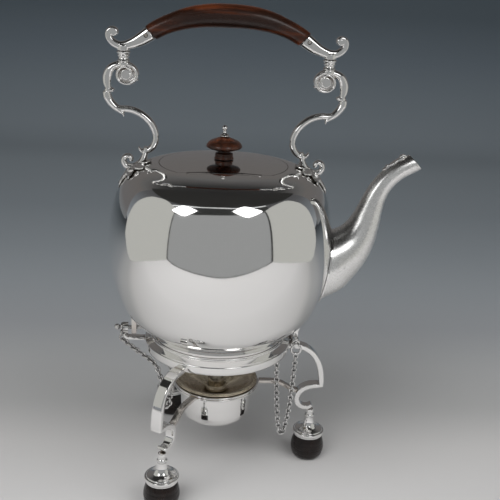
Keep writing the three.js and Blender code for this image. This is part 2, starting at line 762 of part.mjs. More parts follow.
function makeHandle() {
  const [rivetX, rivetZ] = rivetPlace();
  const rivet = toSolid(cylinderAlong("y", rivetRadius, socketWidth, pinSides).translate(rivetX, 0, rivetZ));
  const pieces = {
    handle_foot: handleFoot(), handle_scroll: handleScroll(), handle_collar: handleCollar(),
    grip_socket: gripSocket(), grip_rivet: rivet,
  };
  for (const [name, solid] of Object.entries(pieces)) {
    addPart(name + "_spout_side", solid, silver);
    addPart(name + "_far_side", mirrored(solid), silver);
  }
}

// Stand

function ringSection(grow) {
  const outline = [[0, 0], ...ringShares, [0, 1]].map(([out, up]) => (
    new THREE.Vector2(ringInnerRadius + out * ringWidth, ringUndersideZ + up * ringHeight)));
  const moved = movedOut(outline, grow);
  moved[0] = [ringInnerRadius - grow, ringUndersideZ - grow];
  moved[moved.length - 1] = [ringInnerRadius - grow, ringCrestZ + grow];
  return moved;
}

function makeStandRing() {
  addPart("stand_ring", toSolid(ringed(ringSection(0), bodySides)).subtract(bodyClear), silver);
}

const ringRoom = toSolid(ringed(ringSection(gap), bodySides));

function legStations(shares, zeroR, unitR) {
  return shares.map(([r, drop, t]) => [zeroR + r * unitR, legTopZ + drop * legDrop, (t * legThickness) / 2]);
}

const kneeStations = legStations(legKneeShares, ringArmR, legReach - ringArmR);
const legScrollStations = legStations(legScrollShares, legReach, legDrop);

function legSolid() {
  return largestPiece(ribbon(kneeStations, legWidth)
    .add(ribbon(legScrollStations, legWidth))
    .subtract(ringRoom)
    .subtract(footCapTopRoom()));
}

function bracketSolid(leg) {
  const [, , , joint] = legScrollStations;
  const endR = lampRingOuter - bracketThickness / 2;
  const baseZ = joint[1] + legThickness / 2;
  const bracketRise = lampRingTopZ - bracketThickness / 2 - baseZ;
  const stations = bracketShares.map(([r, rise]) => [
    endR + r * (joint[0] - endR), baseZ + rise * bracketRise, bracketThickness / 2,
  ]);
  const lampRingRoom = toSolid(ringed(lampRingSection(gap), wheelSides));
  const clearLeg = ["x", "z"].reduce((room, axis) => {
    const step = axis === "x" ? [gap, 0, 0] : [0, 0, gap];
    const back = step.map((value) => -value);
    return room.add(leg.translate(step)).add(leg.translate(back));
  }, leg);
  return largestPiece(ribbon(stations, bracketWidth).subtract(clearLeg).subtract(lampRingRoom));
}

// A cut can leave chips beyond the neighbour it was cut by: the piece itself is the largest
function largestPiece(solid) {
  return solid.decompose().reduce((best, piece) => (piece.volume() > best.volume() ? piece : best));
}

function makeLegs() {
  const leg = legSolid();
  const bracket = bracketSolid(leg);
  legPlaces.forEach((name, i) => {
    const turn = [0, 0, (i * 360) / legPlaces.length];
    addPart("leg_" + name, leg.rotate(turn), silver);
    addPart("lamp_bracket_" + name, bracket.rotate(turn), silver);
    addPart("foot_cap_" + name, footCap().rotate(turn), silver);
    addPart("foot_bun_" + name, footBun().rotate(turn), darkWood);
  });
}

function footBun() {
  const bore = studRadius + gap;
  const boreEnd = bunHeight - studDepth - gap;
  return toSolid(ringed([
    [0, 0], [bunSoleRadius, 0], ...scaled(bunShares, bunRadius, 0, bunHeight),
    [bore, bunHeight], [bore, boreEnd], [0, boreEnd],
  ], footSides).translate(footCircle, 0, 0));
}

function footCap() {
  const base = bunHeight + gap;
  return toSolid(turned([
    [0, bunHeight - studDepth], [studRadius, bunHeight - studDepth], [studRadius, base],
    ...scaled(footCapShares, footCapRadius, base, footCapHeight), [0, base + footCapHeight],
  ], footSides).translate(footCircle, 0, 0));
}

function footCapTopRoom() {
  const top = bunHeight + gap + footCapHeight + gap;
  return toSolid(box(
    footCircle - footCapRadius / 3, footCircle + footCapRadius / 3, -legWidth, legWidth, 0, top));
}

// Lugs, pins and chains

const hingePinHole = cylinderAlong("y", pinRadius + pinPlay, 4 * overrun, pinSides)
  .translate(hingeX, 0, hingeZ);

function makeHingeLugs() {
  const armOut = lugArmReachShare * eyeRadius;
  const armUp = bellyZ(hingeX + armOut) - hingeZ;
  const armRows = lugArmShares.map(
    ([out, up, t]) => [hingeX + out * armOut, hingeZ + up * armUp, t * eyeRadius]);
  const eyeBlank = cylinderAlong("y", eyeRadius, kettleEyeWidth, smallSides).translate(hingeX, 0, hingeZ);
  const kettleLug = toSolid(eyeBlank)
    .add(ribbon(armRows, kettleEyeWidth))
    .subtract(bodyClear)
    .subtract(toSolid(hingePinHole));
  addPart("kettle_hinge_lug", largestPiece(kettleLug), silver);
  const sides = { front: -1, back: 1 };
  for (const [name, side] of Object.entries(sides)) {
    const middle = side * (kettleEyeWidth / 2 + gap + standEyeWidth / 2);
    const eye = cylinderAlong("y", eyeRadius, standEyeWidth, smallSides).translate(hingeX, middle, hingeZ);
    const armBase = hingeZ - eyeRadius;
    const arm = box(
      ringArmR, hingeX, middle - standEyeWidth / 2, middle + standEyeWidth / 2,
      armBase, armBase + lugArmHeight);
    const legRoom = box(
      0, bodyRadius, -legWidth, legWidth, legTopZ - legThickness, legTopZ + legThickness / 2 + gap);
    const lug = toSolid(eye).add(toSolid(arm)).subtract(ringRoom).subtract(toSolid(legRoom))
      .subtract(bodyClear).subtract(toSolid(hingePinHole));
    addPart("stand_hinge_eye_" + name, largestPiece(lug), silver);
  }
}

function torusFacing(axis, radius, wire) {
  const geometry = new THREE.TorusGeometry(radius, wire, wireSides, ringSteps);
  if (axis === "y") geometry.rotateX(Math.PI / 2);
  if (axis === "x") geometry.rotateY(Math.PI / 2);
  return geometry;
}

function makeHingePin() {
  const eyesEnd = kettleEyeWidth / 2 + gap + standEyeWidth;
  const ringY = -eyesEnd - hingePinRingForward;
  const shaft = cylinderAlong("y", pinRadius, eyesEnd + hingePinTail - ringY + hingePinRingWire, pinSides)
    .translate(0, (eyesEnd + hingePinTail + ringY - hingePinRingWire) / 2, 0);
  const [wide, thick] = hingePinShoulderShares;
  const shoulder = cylinderAlong("y", eyeRadius * wide, hingePinRingWire * thick, smallSides)
    .translate(0, -eyesEnd - gap - (hingePinRingWire * thick) / 2, 0);
  const ring = torusFacing("y", hingePinRingRadius, hingePinRingWire)
    .translate(0, ringY, -hingePinRingRadius);
  const pin = toSolid(shaft).add(toSolid(shoulder)).add(toSolid(ring)).translate([hingeX, 0, hingeZ]);
  addPart("hinge_pin", pin, agedSilver);
}

const lockPinHole = cylinderAlong("x", pinRadius + pinPlay, 4 * overrun, pinSides)
  .translate(-lockPlateX, 0, lockZ);

function makeLockLugs() {
  const half = lockPlateThickness / 2;
  const plate = box(
    -lockPlateX - half, -lockPlateX + half, -lockPlateWidth / 2, lockPlateWidth / 2,
    lockZ - lockHookDrop, bellyZ(lockPlateX + half) + lockPlateThickness);
  const slot = box(
    -bodyRadius, -bodyBaseRadius, -pinRadius - pinPlay, pinRadius + pinPlay, ringUndersideZ, lockZ);
  const hook = toSolid(plate).subtract(bodyClear).subtract(toSolid(slot)).subtract(toSolid(lockPinHole));
  addPart("kettle_lock_lug", largestPiece(hook), silver);
  const armBase = hingeZ - eyeRadius - gap;
  const arm = box(
    -standLockX - half, -ringArmR, -standLockEyeRadius / 2, standLockEyeRadius / 2,
    armBase, armBase + lugArmHeight);
  const post = box(
    -standLockX - half, -standLockX + half, -standLockEyeRadius / 2, standLockEyeRadius / 2, armBase, lockZ);
  const eye = cylinderAlong("x", standLockEyeRadius, lockPlateThickness, smallSides)
    .translate(-standLockX, 0, lockZ);
  const blank = toSolid(arm).add(toSolid(post)).add(toSolid(eye));
  const lug = blank.subtract(ringRoom).subtract(toSolid(lockPinHole));
  addPart("stand_lock_eye", largestPiece(lug), silver);
}

function makeLockPin() {
  const shoulderX = standLockX + lockPlateThickness / 2 + gap;
  const length = shoulderX - lockPinTipX;
  const ball = lockPinBallRadius;
  const disc = lockPinDiscThickness;
  const pin = turned([
    [0, 0], [pinRadius, 0], [pinRadius, length],
    [lockPinDiscRadius, length], [lockPinDiscRadius, length + disc],
    [ball * lockPinNeckShares[0], length + disc * (1 + lockPinNeckShares[1])],
    ...scaled(lockPinBallShares, ball, length + disc, ball),
  ], smallSides).rotateY(-Math.PI / 2).translate(-lockPinTipX, 0, lockZ);
  const loopDrop = (lockPinDiscRadius + lockLoopRadius - stapleWire / 2) * Math.SQRT1_2;
  const loopCentre = [-shoulderX - disc / 2, -loopDrop, lockZ - loopDrop];
  const loop = torusFacing("x", lockLoopRadius, stapleWire).translate(...loopCentre);
  addPart("lock_pin", toSolid(pin).add(toSolid(loop)), agedSilver);
}

// A link chain: flat links that turn a quarter from one to the next along the route
function chainAlong(points) {
  const route = new THREE.CatmullRomCurve3(
    points.map(([x, y, z]) => new THREE.Vector3(x, y, z)), false, "centripetal");
  const links = 2 * Math.round(route.getLength() / chainLink / 2) + 1;
  const across = new THREE.Vector3(0, 1, 0);
  const rings = [];
  for (let i = 0; i < 2 * links; i++) {
    const share = i / (2 * links - 1);
    const p = route.getPointAt(share);
    const tangent = route.getTangentAt(share);
    const u = across.clone().cross(tangent).normalize();
    const v = tangent.clone().cross(u);
    const wide = Math.floor(i / 2) % 2 === 0;
    const [a, b] = wide ? [chainLinkWidth, chainWire] : [chainWire, chainLinkWidth];
    const ring = [];
    for (let k = 0; k < linkSides; k++) {
      const angle = (k * 2 * Math.PI) / linkSides;
      const point = p.clone().addScaledVector(u, (a / 2) * Math.cos(angle));
      ring.push(point.addScaledVector(v, (b / 2) * Math.sin(angle)));
    }
    rings.push(ring);
  }
  return loft(rings, false);
}

// A staple under the ring, at an angle from the spout's direction
function staplePlace(angle) {
  const turn = (angle * Math.PI) / 180;
  const reach = ringOuterRadius - stapleInset;
  return new THREE.Vector3(reach * Math.cos(turn), reach * Math.sin(turn), ringUndersideZ - gap);
}

function staple(angle) {
  const { x, y, z } = staplePlace(angle);
  const ends = cappedHalfTorus(stapleRadius, stapleWire);
  return toSolid(ends.rotateX(Math.PI / 2).rotateZ(Math.atan2(y, x) + Math.PI / 2).translate(x, y, z));
}

// The chain's route from the pin's ring down and up again to just under its staple
function chainRoute(shares, start, angle, drop) {
  const end = staplePlace(angle);
  end.z -= stapleRadius + stapleWire + gap;
  const points = shares.map(([x, y, sag]) => [
    start.x + x * (end.x - start.x), start.y + y * (end.y - start.y), start.z - sag * drop,
  ]);
  return [...points, end.toArray()];
}

// Half a round loop, open side up, closed at both ends by its flat sections
function cappedHalfTorus(radius, wire) {
  const rings = [];
  const steps = 10;
  for (let i = 0; i <= steps; i++) {
    const turn = Math.PI + (i / steps) * Math.PI;
    const ring = [];
    for (let k = 0; k < wireSides; k++) {
      const angle = (2 * Math.PI * k) / wireSides;
      const reach = radius + wire * Math.cos(angle);
      ring.push(new THREE.Vector3(reach * Math.cos(turn), reach * Math.sin(turn), wire * Math.sin(angle)));
    }
    rings.push(ring);
  }
  return loft(rings, false);
}

function makeChains() {
  const ringEnd = hingePinRingRadius * 2 + hingePinRingWire + gap;
  const hingeStart = new THREE.Vector3(
    hingeX, -kettleEyeWidth / 2 - gap - standEyeWidth - hingePinRingForward, hingeZ - ringEnd);
  const loopEnd = (lockPinDiscRadius + 2 * lockLoopRadius) * Math.SQRT1_2 + stapleWire / 2;
  const lockStart = new THREE.Vector3(
    -standLockX - lockPlateThickness / 2 - gap - lockPinDiscThickness / 2, -loopEnd,
    lockZ - loopEnd - stapleWire);
  addPart("chain_staple_spout_side", staple(hingeStapleAngle), agedSilver);
  addPart("chain_staple_far_side", staple(lockStapleAngle), agedSilver);
  addPart("chain_spout_side", chainAlong(
    chainRoute(hingeChainShares, hingeStart, hingeStapleAngle, hingeChainDrop)), agedSilver);
  addPart("chain_far_side", chainAlong(
    chainRoute(lockChainShares, lockStart, lockStapleAngle, lockChainDrop)), agedSilver);
}

// Lamp

function lampRingSection(grow) {
  const low = lampRingTopZ - lampRingHeight;
  const outer = lampRingOuter + grow;
  return [
    [lampRingInner - grow, low - grow],
    [outer - lampRingBevel, low - grow], [outer, low - grow + lampRingBevel],
    [outer, lampRingTopZ + grow - lampRingBevel], [outer - lampRingBevel, lampRingTopZ + grow],
    [lampRingInner - grow, lampRingTopZ + grow],
  ];
}

function makeLamp() {
  addPart("lamp_ring", ringed(lampRingSection(0), wheelSides), silver);
  makeLampPot();
  const floor = lampRingTopZ + gap + lampRimHeight - lampDishDepth;
  makeLampDish(floor);
  makeWick(floor);
}

function makeLampPot() {
  const base = lampRingTopZ - lampPotHeight;
  const outside = [[0, base], ...scaled(lampPotShares, lampPotRadius, base, lampPotHeight)];
  const inside = [...outside].reverse().map(([r, z], i) => {
    const inner = Math.max(r - lampWall, 0);
    return [inner, i === 0 ? lampRingTopZ : z + lampWall * (1 - lampPotSlopeShare * (r / lampPotRadius))];
  });
  inside[inside.length - 1] = [0, base + lampWall];
  addPart("lamp_pot", turned([...outside, ...inside], wheelSides), silver);
}

function makeLampDish(floor) {
  const seat = lampRingTopZ + gap;
  const hole = wickTubeRadius + gap;
  const flat = wickCollarRadius + gap;
  const neck = lampPotRadius - lampWall - gap;
  const [above, below] = scaled(lampDishShares, lampPotRadius, floor, lampDishDepth);
  addPart("lamp_dish", ringed([
    [hole, floor - lampWall], [flat, floor - lampWall], [below[0], below[1] - lampWall],
    [neck, seat - lampWall], [neck, seat], ...scaled(lampRimShares, lampRimRadius, seat, lampRimHeight),
    above, [flat, floor], [hole, floor],
  ], wheelSides), silver);
}

function makeWick(floor) {
  const tubeBase = floor - wickTubeSpigot;
  const tubeTop = floor + wickTubeHeight;
  const bore = wickTubeRadius - wickTubeWall;
  const collarBase = floor + gap;
  addPart("wick_tube", ringed([
    [bore, tubeBase], [wickTubeRadius, tubeBase], [wickTubeRadius, collarBase],
    [wickCollarRadius, collarBase], [wickCollarRadius, collarBase + wickCollarHeight],
    [wickTubeRadius, collarBase + wickCollarHeight * wickCollarSlopeShare],
    [wickTubeRadius, tubeTop], [bore, tubeTop],
  ], smallSides), silver);
  const wickRadius = bore - gap;
  const wickTop = tubeTop + wickRise;
  addPart("wick", turned([
    [0, tubeBase], [wickRadius, tubeBase], [wickRadius, wickTop - wickRise / 2],
    [wickRadius * wickTopShare, wickTop], [0, wickTop],
  ], smallSides), cotton);
}

makeStandRing();
makeLegs();
makeLamp();
makeHingeLugs();
makeLockLugs();
makeHingePin();
makeLockPin();
makeChains();
makeBody();
makeLidSeat();
makeLidHinge();
makeLid();
makeKnob();
makeSpout();
makeGrip();
makeHandle();

// The origin goes to the middle of the footprint, on the table
const middle = new THREE.Box3().setFromObject(kettleOnStand).getCenter(new THREE.Vector3());
for (const mesh of kettleOnStand.children) mesh.geometry.translate(-middle.x, 0, 0);

export default kettleOnStand;
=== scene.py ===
import bpy
from math import atan, atan2, copysign, cos, dist, exp, hypot, pi, radians, sin
from mathutils import Matrix, Quaternion, Vector


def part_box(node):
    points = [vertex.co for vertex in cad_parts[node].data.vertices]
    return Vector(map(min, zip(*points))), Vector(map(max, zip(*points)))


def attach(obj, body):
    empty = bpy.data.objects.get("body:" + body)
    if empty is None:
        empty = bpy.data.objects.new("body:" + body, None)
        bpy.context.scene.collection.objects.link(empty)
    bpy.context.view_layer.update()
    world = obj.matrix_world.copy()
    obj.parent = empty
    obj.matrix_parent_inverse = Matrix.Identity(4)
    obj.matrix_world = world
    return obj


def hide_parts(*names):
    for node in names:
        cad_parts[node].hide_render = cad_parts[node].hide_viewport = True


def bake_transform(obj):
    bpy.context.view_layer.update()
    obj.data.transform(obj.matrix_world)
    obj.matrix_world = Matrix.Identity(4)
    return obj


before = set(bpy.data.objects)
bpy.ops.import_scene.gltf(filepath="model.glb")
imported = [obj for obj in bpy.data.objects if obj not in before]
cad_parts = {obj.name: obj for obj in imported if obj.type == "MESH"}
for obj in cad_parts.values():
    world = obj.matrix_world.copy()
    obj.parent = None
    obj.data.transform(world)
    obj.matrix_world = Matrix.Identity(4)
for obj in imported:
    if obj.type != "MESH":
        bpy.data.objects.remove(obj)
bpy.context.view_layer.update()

# Everything is modelled in millimetres round the kettle's upright axis, and moved into the frame when done
mm = 0.001
gap = 0.3
ringLow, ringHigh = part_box("stand_ring")
axisX = (ringLow[0] + ringHigh[0]) / 2
fullTurn, quarter = 2 * pi, pi / 2
turnTo = {'x': (0, quarter, 0), 'y': (quarter, 0, 0), 'z': (0, 0, 0)}


# Hand tools

def pickNothing():
    if bpy.context.object and bpy.context.object.mode != 'OBJECT':
        bpy.ops.object.mode_set(mode='OBJECT')
    bpy.ops.object.select_all(action='DESELECT')


def pick(*pieces):
    pickNothing()
    for piece in pieces:
        piece.select_set(True)
    bpy.context.view_layer.objects.active = pieces[0]


def openEdit(piece, what='SELECT'):
    pick(piece)
    bpy.ops.object.mode_set(mode='EDIT')
    bpy.ops.mesh.select_all(action=what)


def closeEdit():
    bpy.ops.object.mode_set(mode='OBJECT')


def extrude(x, y, z):
    bpy.ops.mesh.extrude_region_move(TRANSFORM_OT_translate={"value": (x, y, z)})


def turnOnY(angle, centre=(0, 0, 0)):
    bpy.ops.transform.rotate(value=angle, orient_axis='Y', center_override=centre)


def turnedAndMoved(piece, angle, move):
    openEdit(piece)
    turnOnY(angle)
    bpy.ops.transform.translate(value=move)
    closeEdit()


def spots(piece):
    return [vertex.co for vertex in piece.data.vertices]


def named(name):
    piece = bpy.context.object
    piece.name = name
    piece.data.name = name
    return piece


def settled(name):
    piece = named(name)
    bpy.ops.object.transform_apply()
    return piece


def applyAll(piece):
    pick(piece)
    for modifier in list(piece.modifiers):
        bpy.ops.object.modifier_apply(modifier=modifier.name)
    return piece


def placeMesh(piece, move=(0, 0, 0), turnZ=0, scale=(1, 1, 1)):
    pick(piece)
    piece.location = move
    piece.rotation_euler = (0, 0, turnZ)
    piece.scale = scale
    bpy.ops.object.transform_apply()
    return piece


def copied(piece, name, turnZ=0, mirrored=False):
    pick(piece)
    bpy.ops.object.duplicate()
    twin = named(name)
    placeMesh(twin, turnZ=turnZ, scale=(-1 if mirrored else 1, 1, 1))
    if mirrored:
        faceOut(twin)
    return twin


def faceOut(piece):
    openEdit(piece)
    bpy.ops.mesh.remove_doubles(threshold=0.0005)
    bpy.ops.mesh.normals_make_consistent(inside=False)
    closeEdit()


def joined(name, *pieces):
    pick(*pieces)
    bpy.ops.object.join()
    return named(name)


def cut(piece, *tools, keep=False, how='DIFFERENCE'):
    for tool in tools:
        modifier = piece.modifiers.new("cut", 'BOOLEAN')
        modifier.object = tool
        modifier.operation = how
        modifier.solver = 'EXACT'
        applyAll(piece)
        if not keep:
            bpy.data.objects.remove(tool)
    return piece


# Lines

def smoothLine(points, step):
    points = [tuple(float(v) for v in p) for p in points]
    ends = [points[0]] + points + [points[-1]]
    line = []
    for p0, p1, p2, p3 in zip(ends, ends[1:], ends[2:], ends[3:]):
        count = max(1, round(dist(p1[:2], p2[:2]) / step))
        for t in (k / count for k in range(count)):
            line.append(tuple(0.5 * (2 * b + (c - a) * t + (2 * a - 5 * b + 4 * c - d) * t * t
                                     + (3 * b - a - 3 * c + d) * t ** 3)
                              for a, b, c, d in zip(p0, p1, p2, p3)))
    line.append(points[-1])
    return line


def eased(line, passes):
    for _ in range(passes):
        middle = [tuple((a + 2 * b + c) / 4 for a, b, c in zip(*near))
                  for near in zip(line, line[1:], line[2:])]
        line = [line[0]] + middle + [line[-1]]
    return line


def softCorners(points, radius, closed=False):
    line = []
    for i, p in enumerate(points):
        if not closed and i in (0, len(points) - 1):
            line.append(p)
            continue
        a, c = ([p[k] + (q[k] - p[k]) * min(radius, 0.4 * dist(p, q)) / dist(p, q) for k in (0, 1)]
                for q in (points[i - 1], points[(i + 1) % len(points)]))
        for t in (0, 1 / 3, 2 / 3, 1):
            line.append(tuple((1 - t) ** 2 * a[k] + 2 * t * (1 - t) * p[k] + t * t * c[k] for k in (0, 1)))
    return line


def offsetLine(line, distance):
    moved = []
    for (r, z), (r0, z0), (r1, z1) in zip(line, line[:1] + line, line[1:] + line[-1:]):
        length = hypot(r1 - r0, z1 - z0) or 1
        moved.append((max(r + (z1 - z0) / length * distance, 0), z - (r1 - r0) / length * distance))
    return moved


# Shapes

def spun(name, profile, steps=96, closed=False):
    pickNothing()
    bpy.ops.mesh.primitive_plane_add(size=2)
    piece = named(name)
    bpy.ops.object.mode_set(mode='EDIT')
    bpy.ops.mesh.merge(type='CENTER')
    bpy.ops.transform.translate(value=(profile[0][0], 0, profile[0][1]))
    line = list(profile) + ([profile[0]] if closed else [])
    for (r0, z0), (r1, z1) in zip(line, line[1:]):
        extrude(r1 - r0, 0, z1 - z0)
    bpy.ops.mesh.select_all(action='SELECT')
    bpy.ops.mesh.spin(steps=steps, angle=fullTurn, center=(0, 0, 0), axis=(0, 0, 1))
    closeEdit()
    faceOut(piece)
    return piece


# A piece turned on the lathe; an outline that starts off the axis closes on itself
def turned(name, outline, soft, steps):
    isRing = outline[0][0] > 0
    return spun(name, softCorners(outline, soft, closed=isRing), steps, closed=isRing)


def headings(path):
    turns = []
    for before, after in zip(path[:1] + path, path[1:] + path[-1:]):
        turn = atan2(after[1] - before[1], after[0] - before[0])
        if turns:
            turn -= fullTurn * round((turn - turns[-1]) / fullTurn)
        turns.append(turn)
    return turns


# Rows of x, z and half thickness in the XZ plane: round in section, or width across, flat or crowned
def swept(name, rows, width=None, corner=0.35, sides=32, endTurn=0, crowned=False):
    turns = headings(rows)
    turns[-1] += endTurn
    x, z, half = rows[0]
    pickNothing()
    if width and not crowned:
        bpy.ops.mesh.primitive_plane_add(size=2)
    else:
        bpy.ops.mesh.primitive_circle_add(vertices=sides, radius=half, fill_type='NGON')
    piece = named(name)
    bpy.ops.object.mode_set(mode='EDIT')
    if crowned:
        bpy.ops.transform.resize(value=(1.08, width / 2 / half, 1))
    elif width:
        bpy.ops.transform.resize(value=(half, width / 2, 1))
        bpy.ops.mesh.bevel(offset=corner * half * 2, segments=3, affect='VERTICES')
        bpy.ops.mesh.select_all(action='SELECT')
    turnOnY(turns[0] - quarter)
    bpy.ops.transform.translate(value=(x, 0, z))
    for i in range(1, len(rows)):
        x0, z0, half0 = rows[i - 1]
        x1, z1, half1 = rows[i]
        share = half1 / half0
        extrude(x1 - x0, 0, z1 - z0)
        bpy.ops.transform.resize(value=(share, 1 if width else share, share), center_override=(x1, 0, z1))
        turnOnY(turns[i] - turns[i - 1], (x1, 0, z1))
    closeEdit()
    faceOut(piece)
    return piece


def strip(name, points, step, width, corner):
    return swept(name, smoothLine(points, step), width=width, corner=corner)


def block(name, low, high):
    pickNothing()
    bpy.ops.mesh.primitive_cube_add(size=1, location=[(a + b) / 2 for a, b in zip(low, high)],
                                    scale=[b - a for a, b in zip(low, high)])
    return settled(name)


def bevelEdges(piece, soft, segments=3, angle=35):
    modifier = piece.modifiers.new("soft edges", 'BEVEL')
    modifier.width = soft
    modifier.segments = segments
    modifier.limit_method = 'ANGLE'
    modifier.angle_limit = radians(angle)
    return applyAll(piece)


def rod(name, axis, radius, start, end, sides=32, soft=0):
    pickNothing()
    bpy.ops.mesh.primitive_cylinder_add(
        vertices=sides, radius=radius, depth=dist(start, end), rotation=turnTo[axis],
        location=[(a + b) / 2 for a, b in zip(start, end)])
    piece = settled(name)
    if soft:
        bevelEdges(piece, soft)
    return piece


def rodUp(name, radius, x, low, high, **more):
    return rod(name, 'z', radius, (x, 0, low), (x, 0, high), **more)


def rodAcross(name, radius, x, z, half, **more):
    return rod(name, 'y', radius, (x, -half, z), (x, half, z), **more)


def loop(name, axis, radius, wire, middle, around=40, across=12):
    pickNothing()
    bpy.ops.mesh.primitive_torus_add(
        major_segments=around, minor_segments=across, major_radius=radius, minor_radius=wire,
        location=middle, rotation=turnTo[axis])
    return settled(name)


# Separate strips run into one casting, with soft fillets where they meet
def castTogether(name, pieces, grain=0.4, passes=6):
    piece = joined(name, *pieces) if len(pieces) > 1 else pieces[0]
    remesh = piece.modifiers.new("casting", 'REMESH')
    remesh.mode = 'VOXEL'
    remesh.voxel_size = grain
    ease = piece.modifiers.new("ease", 'SMOOTH')
    ease.factor = 0.5
    ease.iterations = passes
    return applyAll(piece)


def coated(piece, material):
    piece.data.materials.clear()
    piece.data.materials.append(material)


def finished(piece, body, cadNode, material, angle=45):
    pick(piece)
    if angle:
        bpy.ops.object.shade_smooth_by_angle(angle=radians(angle))
    else:
        bpy.ops.object.shade_smooth()
    placeMesh(piece, move=(axisX, 0, 0), scale=(mm, mm, mm))
    coated(piece, material)
    if body:
        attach(piece, body)
    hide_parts(cadNode)
    return piece


# Materials

def newMaterial(name):
    material = bpy.data.materials.new(name)
    material.use_nodes = True
    tree = material.node_tree
    return material, tree, tree.nodes["Principled BSDF"]


# A group of a surface's colour, roughness and height, and what it is given
def newGroup(name, inputs):
    tree = bpy.data.node_groups.new(name, 'ShaderNodeTree')
    for label, value in inputs.items():
        kind = 'Float' if isinstance(value, float) else 'Color' if len(value) == 4 else 'Vector'
        socket = tree.interface.new_socket(name=label, in_out='INPUT', socket_type='NodeSocket' + kind)
        socket.default_value = value
    for label, kind in (("Color", 'Color'), ("Roughness", 'Float'), ("Height", 'Float')):
        tree.interface.new_socket(name=label, in_out='OUTPUT', socket_type='NodeSocket' + kind)
    return tree, tree.nodes.new('NodeGroupInput').outputs, tree.nodes.new('NodeGroupOutput')


def fed(tree, made, inputs):
    for label, source in inputs.items():
        if isinstance(source, bpy.types.NodeSocket):
            tree.links.new(source, made.inputs[label])
        else:
            made.inputs[label].default_value = source
    return made


def node(tree, kind, inputs, **values):
    made = tree.nodes.new('ShaderNode' + kind)
    for key, value in values.items():
        setattr(made, key, value)
    return fed(tree, made, inputs)


def colourMix(tree, share, first, second):
    return node(tree, 'Mix', {0: share, 6: first, 7: second}, data_type='RGBA').outputs[2]


def mapRange(tree, value, fromLow, fromHigh, toLow=0.0, toHigh=1.0):
    return node(tree, 'MapRange', {
        "Value": value, "From Min": fromLow, "From Max": fromHigh,
        "To Min": toLow, "To Max": toHigh}).outputs["Result"]


def maths(tree, how, *values, clamp=False):
    return node(tree, 'Math', dict(enumerate(values)), operation=how, use_clamp=clamp).outputs[0]


def noise(tree, where, scale, detail, rough=0.5, distortion=0.0):
    return node(tree, 'TexNoise', {
        "Vector": where, "Scale": scale, "Detail": detail, "Roughness": rough,
        "Distortion": distortion}).outputs["Fac"]


def objectPlace(tree):
    return node(tree, 'TexCoord', {}).outputs["Object"]


def surfaced(material, tree, shader, surface, bump, depth):
    given = surface.outputs
    bumps = node(tree, 'Bump', {"Height": given["Height"], "Strength": bump, "Distance": depth})
    fed(tree, shader, {"Base Color": given["Color"], "Roughness": given["Roughness"],
                       "Normal": bumps.outputs["Normal"]})
    return material


# Silver: a hand polish of fine swirls, a faint unevenness, patchy tarnish, and hollows darkened by ambient
# occlusion, which is partly tarnish and partly painted shade
silverLook = {
    "hollow": 0.5, "film": 0.0, "reach": 0.003,
    "clean": (0.93, 0.925, 0.915, 1), "tarnish": (0.3, 0.22, 0.15, 1), "polish": 0.035, "worn": 0.11,
}


def silverGroup():
    tree, given, out = newGroup("silver surface", silverLook)
    place = objectPlace(tree)
    # The hollows are darkened from ambient occlusion: tarnish the silver holds there, plus painted shade where
    # shade falls
    hollow = node(tree, 'AmbientOcclusion', {"Distance": given["reach"]}, samples=6)
    depth = mapRange(tree, hollow.outputs["AO"], 0.25, 0.8, 1.0, 0.0)
    spread = mapRange(tree, noise(tree, place, 45.0, 4.0, 0.6), 0.3, 0.62, 0.35, 1.0)
    swirls = mapRange(tree, noise(tree, place, 900.0, 3.0, 0.7, 2.5), 0.35, 0.7)
    hollowTarnishAndShade = maths(tree, 'MULTIPLY', depth, given["hollow"])
    # The tarnish colour goes on the patchy film (tarnish) and on the hollows (tarnish plus painted shade)
    tarnishAndShadeShare = maths(tree, 'ADD', hollowTarnishAndShade, maths(tree, 'MULTIPLY', spread, given["film"]), clamp=True)
    span = maths(tree, 'SUBTRACT', given["worn"], given["polish"])
    rough = maths(tree, 'MULTIPLY_ADD', maths(tree, 'MULTIPLY', swirls, spread), span, given["polish"])
    fed(tree, out, {"Color": colourMix(tree, tarnishAndShadeShare, given["clean"], given["tarnish"]),
                    "Roughness": maths(tree, 'MULTIPLY_ADD', tarnishAndShadeShare, 0.22, rough),
                    "Height": maths(tree, 'MULTIPLY_ADD', swirls, 0.02, noise(tree, place, 26.0, 1.0))})
    return tree


silverTree = silverGroup()


def silver(name, bump=0.03, **other):
    material, tree, shader = newMaterial(name)
    surface = node(tree, 'Group', {**silverLook, **other}, node_tree=silverTree)
    fed(tree, shader, {"Metallic": 1.0})
    return surfaced(material, tree, shader, surface, bump, 0.0004)


# Wood: long streaks and dark pores along the grain under a polish
def woodGroup():
    tree, given, out = newGroup("wood figure", {
        "light": (0.2, 0.06, 0.03, 1), "dark": (0.04, 0.015, 0.01, 1), "along": (0, 0, 0)})
    along = given["along"]
    streaks = noise(tree, along, 260.0, 6.0, 0.6, 0.8)
    broad = mapRange(tree, noise(tree, along, 90.0, 2.0, distortion=0.4), 0.35, 0.65)
    pores = mapRange(tree, noise(tree, along, 1500.0, 2.0), 0.6, 0.68, 0.0, 0.75)
    share = maths(tree, 'MULTIPLY', mapRange(tree, streaks, 0.36, 0.66), broad)
    base = colourMix(tree, share, given["dark"], given["light"])
    fed(tree, out, {"Color": colourMix(tree, pores, base, (0.012, 0.006, 0.004, 1)),
                    "Roughness": mapRange(tree, streaks, 0.3, 0.7, 0.34, 0.24),
                    "Height": maths(tree, 'MULTIPLY', pores, -1.0)})
    return tree


woodTree = woodGroup()


def woodFinish(name, light, dark, stretch, coat):
    material, tree, shader = newMaterial(name)
    along = node(tree, 'Mapping', {"Vector": objectPlace(tree), "Scale": stretch})
    figure = node(tree, 'Group', {"along": along.outputs["Vector"], "light": light, "dark": dark},
                  node_tree=woodTree)
    fed(tree, shader, {"Coat Weight": coat, "Specular IOR Level": 0.3, "Coat Roughness": 0.08})
    return surfaced(material, tree, shader, figure, 0.25, 0.0002)


